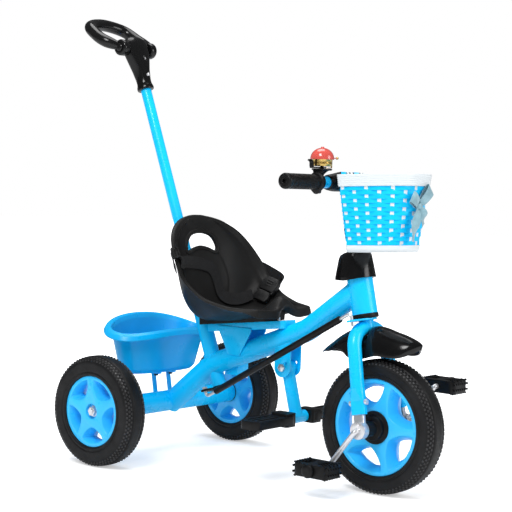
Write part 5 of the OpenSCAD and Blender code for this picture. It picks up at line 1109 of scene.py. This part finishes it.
def make_bell():
    bell = BAR + (0, BELL_Y, 0)
    skin = [(22 * math.cos(t) ** 0.95, 42.6 + 20.5 * math.sin(t)) for t in np.linspace(0.06, math.pi / 2 - 0.16, 18)]
    dome = [(20.4, 42.6), (21.0, 41.7), (22.0, 41.9)] + skin + [(3.4, 63.2), (3.0, 64.6), (1.6, 65.2), (0, 65.3)]
    dome += [(0, 60.8), (6, 60.2), (14, 56), (19, 49)]
    piece("bell_dome_red", [revolved(dome, bell, UP, 80)], "red_enamel", "steering", "bell_dome", 40)
    cup = [
        (3.4, 29.2), (14.6, 29.2), (17.4, 30.0), (18.2, 31.6), (18.2, 34.4), (17.6, 35.0), (17.6, 35.8), (18.2, 36.4),
        (18.2, 41.2), (18.7, 42), (16.9, 42), (16.6, 32.4), (15, 31), (3.4, 31),
    ]
    piece("bell_cup_brass", [revolved(cup, bell, UP, 80)], "brass", "steering", "bell_cup", 40)

    # the clamp round the bar, its table, the neck between them, and the clamp's lug and screw
    clamp = [(11.1, -92), (14.6, -92), (15.6, -91), (15.6, -83), (14.6, -82), (11.1, -82)]
    table = [(0, 21.6), (16.6, 21.6), (19, 22.6), (19, 24.2), (18.2, 25), (5.2, 25), (3.1, 25.6), (3.0, 52), (0, 52)]
    low = rounded_section([(-8, -91.5), (8, -91.5), (8, -82.5), (-8, -82.5)], 2, 4)
    high = rounded_section([(-13, -90), (13, -90), (13, -64), (-13, -64)], 5, 4)
    neck = [
        BAR + np.column_stack([low * (1 - t) + high * t, np.full(len(low), 9 + 14.5 * t ** 0.6)])
        for t in np.linspace(0, 1, 7)
    ]
    ears = rounded_section([(-5, -20), (5, -20), (6, -11), (-6, -11)], 3, 4)
    lug = [BAR + np.column_stack([ears[:, 0], np.full(len(ears), y), ears[:, 1]]) for y in (-91, -90, -84, -83)]
    screw = [(0, -94), (3.4, -94), (4, -93.4), (4, -80.8), (3.4, -80.2), (0, -80.2)]
    base = [
        revolved(clamp, BAR, steps=48), revolved(table, bell, UP, 64), tube(neck), tube(lug),
        revolved(screw, BAR - (0, 0, 17), steps=24),
    ]
    piece("bell_clamp", base, "black_plastic", "steering", "bell_base", 40)

    # the lever: a hub under the cup, a thumb pad on one side and the striker on the other
    c, s = math.cos(BELL_TURN), math.sin(BELL_TURN)
    side, out = np.array([c, s, 0]), np.array([-s, c, 0])

    def spots(*places):
        return [bell + out * y + np.array([0, 0, z]) for y, z in places]

    hub = revolved([(3.3, 25.5), (7.4, 25.5), (8, 26), (8, 27.5), (7.4, 28), (3.3, 28)], bell, UP, 40)
    arm = swept(spots(*((-y, 26.7) for y in np.linspace(5, 25, 9))), pill_outline(8, 2.4), side)
    thumb = smooth_line(spots((-23.5, 25.6), (-24.6, 30), (-24.8, 35), (-26.5, 38.6), (-30, 40)), 4)
    pad = swept(thumb, pill_outline(11, 3.4), side)
    piece("bell_thumb_lever", [hub, arm, pad], "black_plastic", "bell_lever", "bell_lever", 45)
    riser = smooth_line(spots((6, 26.7), (20.5, 26.7), (22.6, 28.4), (22.9, 40), (23.4, 43.6)), 6)
    piece("bell_striker_riser", [swept(riser, pill_outline(3.4, 1.4), side)], "brass", "bell_lever", sharp=45)
    arm = spots(*((y, 44.4 + 0.6 * (y > 27)) for y in np.linspace(22.6, 35, 12)))
    piece("bell_striker_arm", [swept(arm, pill_outline(4.4, 1.8), side)], "red_enamel", "bell_lever", sharp=45)
    tip = [(0, 33.5), (1.8, 33.6), (2.5, 34.4), (2.5, 36.8), (1.8, 38), (0, 38.2)]
    piece("bell_striker_tip", [revolved(tip, bell + (0, 0, 45), out, 24)], "brass", "bell_lever", sharp=50)


make_grips()
make_bar_cover()
make_bell()


# Push handle: the neck's rows have a run along the bar, a half width and a half depth

LOOP_LEN, LOOP_SECTION, LOOP_SAG, LOOP_CLEAR_FROM, LOOP_CLEAR_RUN = 114, (12.6, 13.0), 4, 4, 28
NECK_POWER, NECK_ROUND_BELOW, NECK_ROUND_RUN = 0.74, -60, 20
NECK_ROWS = (
    (-93, 16.6, 16.6), (-91.6, 17.5, 17.5), (-87, 17.3, 17.4), (-81, 15.4, 15.8), (-74, 14.5, 15.2),
    (-64, 14.7, 15.6), (-52, 16.6, 16.4), (-40, 20.6, 17.0), (-28, 25.0, 17.2), (-14, 29.9, 17.3), (0, 32.0, 17.0),
    (8, 31.6, 16.4), (15, 29.2, 15.0), (20.5, 24.6, 12.6), (24.2, 17.4, 9.4), (26.2, 8.4, 5.0), (26.7, 0.6, 0.4),
)
NECK_SCREW = HANDLE + PUSH_UP * -27 + (0, 3, 0)


def make_push_handle():
    c, s = math.cos(HANDLE_TILT), math.sin(HANDLE_TILT)
    back, up = np.array([-c, 0, s]), np.array([s, 0, c])
    half = [(4, 40.8), (33, 61), (64, 61), (99, 49)]
    plan = smooth_line([(b, -y) for b, y in half] + [(LOOP_LEN, 0)] + half[::-1], 14)
    sag = LOOP_SAG * np.sin(plan[:, 0] / LOOP_LEN * math.pi)
    line = spaced(HANDLE + np.outer(plan[:, 0], back) + np.outer(plan[:, 1], LEFT) - np.outer(sag, up), 110)
    # the loop's ends are drawn in to clear the neck
    clear = ramp((line - HANDLE) @ back, LOOP_CLEAR_FROM, LOOP_CLEAR_RUN)
    loop = swept(line, circle_outline(1, 32) * LOOP_SECTION, up, scale=0.6 + 0.4 * np.sin(clear * math.pi / 2))
    boss = [
        (4.2, 32.6), (15.6, 32.6), (17, 34), (17, 45.6), (16, 47.8), (13.6, 49.2), (10.4, 49.2), (9.6, 48.4),
        (4.2, 48.4),
    ]
    bosses = [revolved(boss, HANDLE, steps=56, side=side) for side in (-1, 1)]
    piece("push_handle_loop", [loop, *bosses], "polished_black", "handle", "push_handle", 45)
    pin = [(0, -52.4), (4, -52.3), (7, -51.4), (8.2, -50), (7.8, -49.3), (3.9, -49.2)]
    pin = revolved(pin + [(r, -y) for r, y in pin[::-1]], HANDLE, steps=48)
    piece("handle_pivot_pin", [pin], "polished_black", "push_bar", "handle_pin", 45)

    a = angles(96)
    skin = []
    for t, wide, deep in smooth_line(NECK_ROWS, 4):
        share = NECK_POWER + (1 - NECK_POWER) * ramp(-t, -NECK_ROUND_BELOW, NECK_ROUND_RUN)
        x, y = deep * power(np.cos(a), share), wide * power(np.sin(a), share)
        skin.append(HANDLE + PUSH_UP * t + np.outer(x, PUSH_AHEAD) + np.outer(y, LEFT))
    screw_seat = [(2.9, 15.2), (5.4, 15.8), (5.6, 17.4), (4.8, 18.2), (3.6, 18.0), (3.0, 16.4)]
    neck = [tube(skin), revolved(screw_seat, NECK_SCREW, PUSH_AHEAD, 32)]
    piece("handle_neck_moulding", neck, "polished_black", "push_bar", "handle_neck", 50)
    head = [(0, 16.2), (2.9, 16.2), (2.9, 16.8), (2.2, 17.3), (0.8, 17.4), (0.6, 16.9), (0, 16.9)]
    piece("handle_neck_screw", [revolved(head, NECK_SCREW, PUSH_AHEAD, 24)], "bright_steel", "push_bar", sharp=40)


make_push_handle()


# Softened solids, pedal knobs and weld runs

for name, node, width, finish, body in (
    ("front_wheel_rim", "front_rim", 1.3, "rim_plastic", "front_wheel"),
    ("right_wheel_rim", "rear_rim_right", 1.3, "rim_plastic", "rear_wheel_right"),
    ("left_wheel_rim", "rear_rim_left", 1.3, "rim_plastic", "rear_wheel_left"),
    ("right_pedal", "pedal_right", 2.0, "black_plastic", "pedal_right"),
    ("left_pedal", "pedal_left", 2.0, "black_plastic", "pedal_left"),
    ("foot_pegs", "footrest_pegs", 1.8, "black_plastic", "footrest"),
    ("front_hub_moulding", "front_hub", 1.5, "black_plastic", "front_wheel"),
    ("seat_side_plates", "seat_bracket", 0.9, "azure_paint", "frame"),
    ("seat_channel", "seat_rail", 1.0, "azure_paint", "frame"),
    ("footrest_ears", "footrest_bracket", 0.9, "azure_paint", "frame"),
    ("steering_arm_plate", "steering_arm", 0.7, "azure_paint", "steering"),
    ("push_bar_lever", "lever_arm", 0.8, "black_plastic", "push_bar"),
    ("crank_hangers", "axle_hangers", 0.9, "bright_steel", "steering"),
    ("wheel_nuts", "axle_nuts", 0.7, "bright_steel", "frame"),
    ("fork_bolts_plated", "fork_bolts", 0.6, "bright_steel", "steering"),
    ("footrest_pivot_bolt", "footrest_bolt", 0.6, "bright_steel", "frame"),
    ("cross_tube_plugs", "axle_end_plugs", 0.8, "black_plastic", "frame"),
    ("head_cup", "lower_head_cup", 1.2, "black_plastic", "frame"),
    ("link_cover", "link_sleeve", 1.4, "black_plastic", "link"),
    ("tub_stays", "tub_legs", 0.7, "azure_paint", "frame"),
):
    softened(name, node, width, finish, body)


KNOBS, KNOB = 7, dict(Length=0.0044, Width=0.0044, Height=0.0030, Taper=0.66)


def trike_box(node):
    """The low and high corners of a solid in the trike's own millimetres."""
    return (np.array(v) / MM - (REAR_AXLE_X, 0, 0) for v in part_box(node))


def knob_pedal(hand):
    """Rows of small knobs on both faces of a pedal's rails and along its front and rear edges."""
    low, high = trike_box(f"pedal_{hand}")
    mid, half = (low + high) / 2, (high - low) / 2
    spots = []
    for face in (-1, 1):
        for end in (-1, 1):
            for y in np.linspace(-half[1] + 5, half[1] - 5, KNOBS):
                for x, gap in ((half[0] - 3.6, 0), (half[0] - 9.6, 3.2)):
                    if abs(y + gap) < half[1] - 3:
                        spots.append((mid + (end * x, y + gap, face * (half[2] + 0.5)), (0, 0, face), (1, 0, 0)))
                spots.append((mid + (end * (half[0] + 0.4), y, face * half[2] * 0.45), (end, 0, 0), (0, 1, 0)))
    BLOCKS.row(f"{hand}_pedal_knobs", "black_plastic", f"pedal_{hand}", spots, **KNOB)


def cap_pedal(hand, side):
    """A moulded cap that hides the spindle's end."""
    low, high = trike_box(f"pedal_{hand}")
    face, end = ((box[1] if side > 0 else box[0])[1] * side for box in ((low, high), tuple(trike_box("crank"))))
    cap = [
        (10.4, face + 0.3), (12.4, face + 0.3), (12.8, face + 0.9), (12.2, end + 1.2), (10.6, end + 2.4),
        (5, end + 2.7), (0, end + 2.7), (0, end + 0.6), (9.8, end + 0.6),
    ]
    cap = revolved(cap, (low + high) / 2 * (1, 0, 1), steps=40, side=side)
    piece(f"{hand}_pedal_cap", [cap], "black_plastic", f"pedal_{hand}", sharp=40)


knob_pedal("right")
knob_pedal("left")
cap_pedal("right", -1)
cap_pedal("left", 1)


WELD_PITCH, WELD_BEAD = 2.4, dict(Length=0.0036, Width=0.0042, Height=0.0030)
MAIN_R, HEAD_R, SOCKET_R = 22, 24, 16
MAIN_KNEE, MAIN_ELBOW, MAIN_END = np.array([[113.0, 0, 196.15], [351.787, 0, 286.547], [473.787, 0, 376.823]])


def weld_run(start, way, r, centre, axis, big_r):
    """Bead spots where a tube of radius r, running on from start, meets a wider tube."""
    way, axis = unit(way), unit(axis)
    first = unit(np.cross(way, LEFT))
    a = angles(int(2 * math.pi * r / WELD_PITCH))
    ray = np.outer(np.cos(a), first) + np.outer(np.sin(a), np.cross(way, first))
    p = np.asarray(start, float) + ray * (r + 0.3)
    rel = p - centre
    d = way - axis * (way @ axis)
    q = rel - np.outer(rel @ axis, axis)
    qa, qb, qc = d @ d, 2 * q @ d, np.sum(q * q, 1) - big_r ** 2
    run = (-qb - np.sqrt(np.maximum(qb ** 2 - 4 * qa * qc, 0))) / (2 * qa)
    hit = p + np.outer(run, way)
    wall = hit - centre
    wall = unit(wall - np.outer(wall @ axis, axis))
    return list(zip(hit, unit(ray + wall), tangents(hit, closed=True)))


welds = weld_run(MAIN_ELBOW, MAIN_END - MAIN_ELBOW, MAIN_R, FRONT_AXLE, HEAD_UP, HEAD_R)
welds += weld_run(PUSH_FOOT + PUSH_UP * 90, -PUSH_UP, SOCKET_R, MAIN_KNEE, MAIN_ELBOW - MAIN_KNEE, MAIN_R)
BEADS.row("frame_welds", "azure_paint", "frame", welds, **WELD_BEAD)


# Webbing and ribbon

def band_sheet(name, bands, t, finish, body, stands_for):
    """Flat woven bands: each has a path, the way it faces and its width along the path."""
    parts, uvs, area, total = [], [], 0.0, 0.0
    cols = np.linspace(-0.5, 0.5, 7)
    flat = np.concatenate([cols, cols[::-1]])
    for path, facing, width in bands:
        path, facing = np.asarray(path, float), unit(facing)
        width = np.broadcast_to(width, len(path))
        along = tangents(path)
        across = unit(np.cross(facing, along))
        up = np.cross(along, across)
        upper = path[:, None] + across[:, None] * (cols[None, :, None] * width[:, None, None]) + up[:, None] * t / 2
        lower = upper - up[:, None] * t
        parts.append(tube(np.concatenate([upper, lower[:, ::-1]], 1)))
        run = runs(path)
        uvs.append(np.stack([np.outer(width, flat), np.repeat(run[:, None], len(flat), 1)], 2).reshape(-1, 2) * MM)
        area += float(np.sum((width[1:] + width[:-1]) / 2 * np.diff(run)))
        total += float(run[-1])
    mesh = mesh_of(name, *joined(parts))
    corner = np.zeros(len(mesh.loops), int)
    mesh.loops.foreach_get("vertex_index", corner)
    cut = np.concatenate(uvs)[corner].astype(np.float32)
    mesh.uv_layers.new(name="cut").data.foreach_set("uv", cut.ravel())
    with editing(mesh) as bm:
        bmesh.ops.recalc_face_normals(bm, faces=bm.faces)
    obj = finished(linked(name, mesh), finish, body, stands_for, 60)


# The right belt's line over the seat as rows and shares, the left one's in millimetres with the way that it faces
BELT_RIGHT = np.array([
    [8.4, -1.0], [8.7, -0.95], [9.2, -0.86], [9.9, -0.72], [10.5, -0.56], [10.8, -0.36], [10.85, -0.16],
    [10.7, 0.02], [10.45, 0.16], [10.0, 0.23], [9.4, 0.26], [8.8, 0.27], [8.3, 0.30], [7.8, 0.41], [7.2, 0.55],
    [6.5, 0.68], [5.95, 0.77],
])
BELT_LEFT = np.array([
    [104, 117, 402], [112, 128, 396], [126, 132.5, 392], [140, 134, 386.5], [156, 136.5, 379.5], [169, 138, 373],
    [178, 135.5, 366], [180, 128, 361], [176, 118.5, 357], [170, 109, 352.5],
])
BELT_LEFT_FACE = np.array([
    [0.5, -0.85, 0.1], [0.45, -0.9, 0.1], [0.3, -0.93, 0.15], [0.2, -0.95, 0.2], [0.15, -0.95, 0.25],
    [0.0, -0.95, 0.3], [-0.6, -0.7, 0.4], [-0.7, -0.1, 0.7], [-0.3, 0.0, 0.95], [-0.2, -0.3, 0.92],
])
BELT_RIGHT_W, BELT_LEFT_W, BELT_T, RIBBON_T = 25.0, 22.0, 1.8, 0.7
BELT_TURN_ROW, BELT_LIFT, BELT_END_LIFT = 8.4, 3.6, 7.5
BUCKLE_ROW, BUCKLE_SHARE, BUCKLE_LIFT = 5.0, 0.9, 11.3
STITCH, STITCH_HALF_ROW = dict(Length=0.0024, Width=0.0007, Height=0.0006), 11


def right_belt():
    """The belt that comes from under the seat's right edge and lies across the seat."""
    v, u = smooth_line(BELT_RIGHT, 6).T
    rise = BELT_LIFT + np.linspace(0, 1, len(v)) ** 6 * BELT_END_LIFT
    face = seat_normal(v, u)
    inner = seat_at(v, u) + face * rise[:, None]
    edge, n = seat_at(BELT_TURN_ROW, -1), seat_normal(BELT_TURN_ROW, -1)
    out = unit(edge - seat_at(BELT_TURN_ROW, -0.95))
    turn = [(-30, -8), (-13, -9), (0.5, -11.6), (6.8, -10), (8.4, -4.5), (6, 1.8)]
    turn = np.array([edge + out * a + n * b for a, b in turn])
    turn_face = [(0, -1), (0, -1), (0.3, -1), (1, -0.7), (1, 0.1), (1, 1)]
    turn_face = unit(np.array([out * a + n * b for a, b in turn_face]))
    path = smooth_line(np.concatenate([turn, inner[6::6]]), 6)
    return path, smooth_line(np.concatenate([turn_face, face[6::6]]), 6)


def strap_slider(path, face, k, w, h):
    """A ladder slider: a rounded frame and a middle bar about the webbing at one point of its path."""
    n, way = unit(face)[k], tangents(path)[k]
    across = unit(np.cross(n, way))
    frame_line = rounded_section([(-w, -h), (w, -h), (w, h), (-w, h)], 4, 5)
    loop = path[k] + n * 2.2 + np.outer(frame_line[:, 0], across) + np.outer(frame_line[:, 1], way)
    bar = path[k] + n * 2.6 + np.outer(np.linspace(-w, w, 9), across)
    return [swept(loop, pill_outline(4.2, 3.2), n, closed=True), swept(bar, pill_outline(3.4, 2.6), n)]


def buckle_parts():
    """A side-release buckle: a shell, its plug with two sprung prongs, and three release ridges."""
    n = seat_normal(BUCKLE_ROW, BUCKLE_SHARE)
    along = unit(np.cross(UP, np.cross(n, LEFT)))
    side = unit(np.cross(n, along))
    ahead = np.cross(n, side)
    centre = seat_at(BUCKLE_ROW, BUCKLE_SHARE) + n * BUCKLE_LIFT

    def slab(corners, corner_r, steps, low, high, crown):
        """A rounded outline between two heights, its edges rolled over by crown."""
        outline = rounded_section(corners, corner_r, steps)
        inwards = unit(outline.mean(0) - outline)
        rows = []
        for z, shrink in (
            (low, crown), (low + crown, 0), (high - crown, 0), (high - crown * 0.3, crown * 0.5), (high, crown * 1.4),
        ):
            flat = outline + inwards * shrink
            rows.append(centre + np.outer(flat[:, 0], side) + np.outer(flat[:, 1], ahead) + n * z)
        return tube(rows)

    shell = [(-17, -4), (-20, 4), (-20, 20), (-15, 29), (15, 29), (20, 20), (20, 4), (17, -4)]
    plug = [(-16, -29), (16, -29), (18.5, -20), (15, -5), (-15, -5), (-18.5, -20)]
    parts = [slab(shell, 4, 4, -6, 6, 1.6), slab(plug, 4, 4, -5.2, 5.2, 1.5)]
    for hand in (-1, 1):
        prong = [(hand * 13, -8), (hand * 19.4, -9), (hand * 20, 2), (hand * 15, 8)][::hand]
        parts.append(slab(prong, 2.5, 4, -4.4, 4.4, 1.2))
    for y in (8.5, 14.0, 19.5):
        ridge = [(-8, y - 1.3), (8, y - 1.3), (8, y + 1.3), (-8, y + 1.3)]
        parts.append(slab(ridge, 1.2, 3, 4, 6.9, 0.6))
    return parts


def make_harness():
    right = right_belt()
    # the slack left belt runs outside the seat's edge and turns in to the buckle
    left = smooth_line(BELT_LEFT, 6), smooth_line(BELT_LEFT_FACE, 6)
    bands = [(*right, BELT_RIGHT_W), (*left, BELT_LEFT_W)]
    band_sheet(
        "harness_webbing", bands, BELT_T, "webbing", "frame", "harness_straps",
    )
    stitches = []
    for path, face in (right, left):
        across = unit(np.cross(unit(face), tangents(path)))
        for k in (36, 39, len(path) - 5):
            for e in np.linspace(-STITCH_HALF_ROW, STITCH_HALF_ROW, 9):
                stitches.append((path[k] + across[k] * e + unit(face)[k] * 1.0, face[k], across[k]))
    BEADS.row("harness_stitches", "webbing", "frame", stitches, **STITCH)
    sliders = strap_slider(*right, 24, 17.5, 6.5) + strap_slider(*left, 38, 14, 5)
    piece("strap_sliders", sliders, "black_plastic", "frame")
    piece("belt_buckle", buckle_parts(), "black_plastic", "frame", "buckle", 45)


# The bow's knot, and a loop's section as shares of its reach and its swell
BOW_KNOT = np.array([602.4, -14.0, 535.0])
BOW_LOOP = (
    (0, -1.5), (0.25, 0.3), (0.6, 0.85), (0.9, 0.75), (1.0, 0.1), (0.9, -0.5), (0.6, -0.75), (0.25, -0.7), (0, -1.4),
)
# Each loop's reach, angle and swell, and each tail's reach, angle and curl
BOW_LOOPS, BOW_TAILS = ((47.0, 42, 10.0), (30.0, 146, 8.0)), ((41.0, -58, 3.0), (66.0, -103, -3.5))


def make_bow():
    ahead = np.array([1, 0, 0])
    bands = []

    def way(angle):
        a = math.radians(angle)
        return np.array([0, math.cos(a), math.sin(a)])

    for reach, angle, swell in BOW_LOOPS:
        d = way(angle)
        line = smooth_line([BOW_KNOT + d * reach * a + ahead * (swell * 0.5 * b + 1.5) for a, b in BOW_LOOP], 5)
        from_middle = line - (BOW_KNOT + d * reach * 0.55)
        beside = np.cross(d, ahead)
        facing = unit(from_middle - np.outer(from_middle @ beside, beside))
        k = np.linspace(0, 1, len(line))
        bands.append((line, facing, 8 + 16 * np.sin(k * math.pi) ** 0.7))
    k = np.linspace(0, 1, 24)
    for reach, angle, curl in BOW_TAILS:
        sway = np.stack([1.0 + 2.2 * np.sin(k * 5.0), curl * np.sin(k * 4.0), np.zeros_like(k)], 1)
        facing = np.stack([np.ones_like(k), 0.45 * np.sin(k * 5.5 + curl), 0.1 * np.cos(k * 6)], 1)
        line = BOW_KNOT + np.outer(k * reach, way(angle)) + sway
        bands.append((line, facing, 8 + 12 * np.clip(k * 2.2, 0, 1)))
    turn = np.linspace(0, 2 * math.pi, 33)
    round_knot = np.outer(np.cos(turn) * 5.4, ahead) + np.outer(np.sin(turn) * 5.6, np.cross(ahead, way(96)))
    wrap = BOW_KNOT + round_knot
    bands.append((wrap, wrap - BOW_KNOT, 10.0))
    band_sheet("gift_ribbon", bands, RIBBON_T, "satin", "steering", "ribbon_bow")


make_harness()
make_bow()
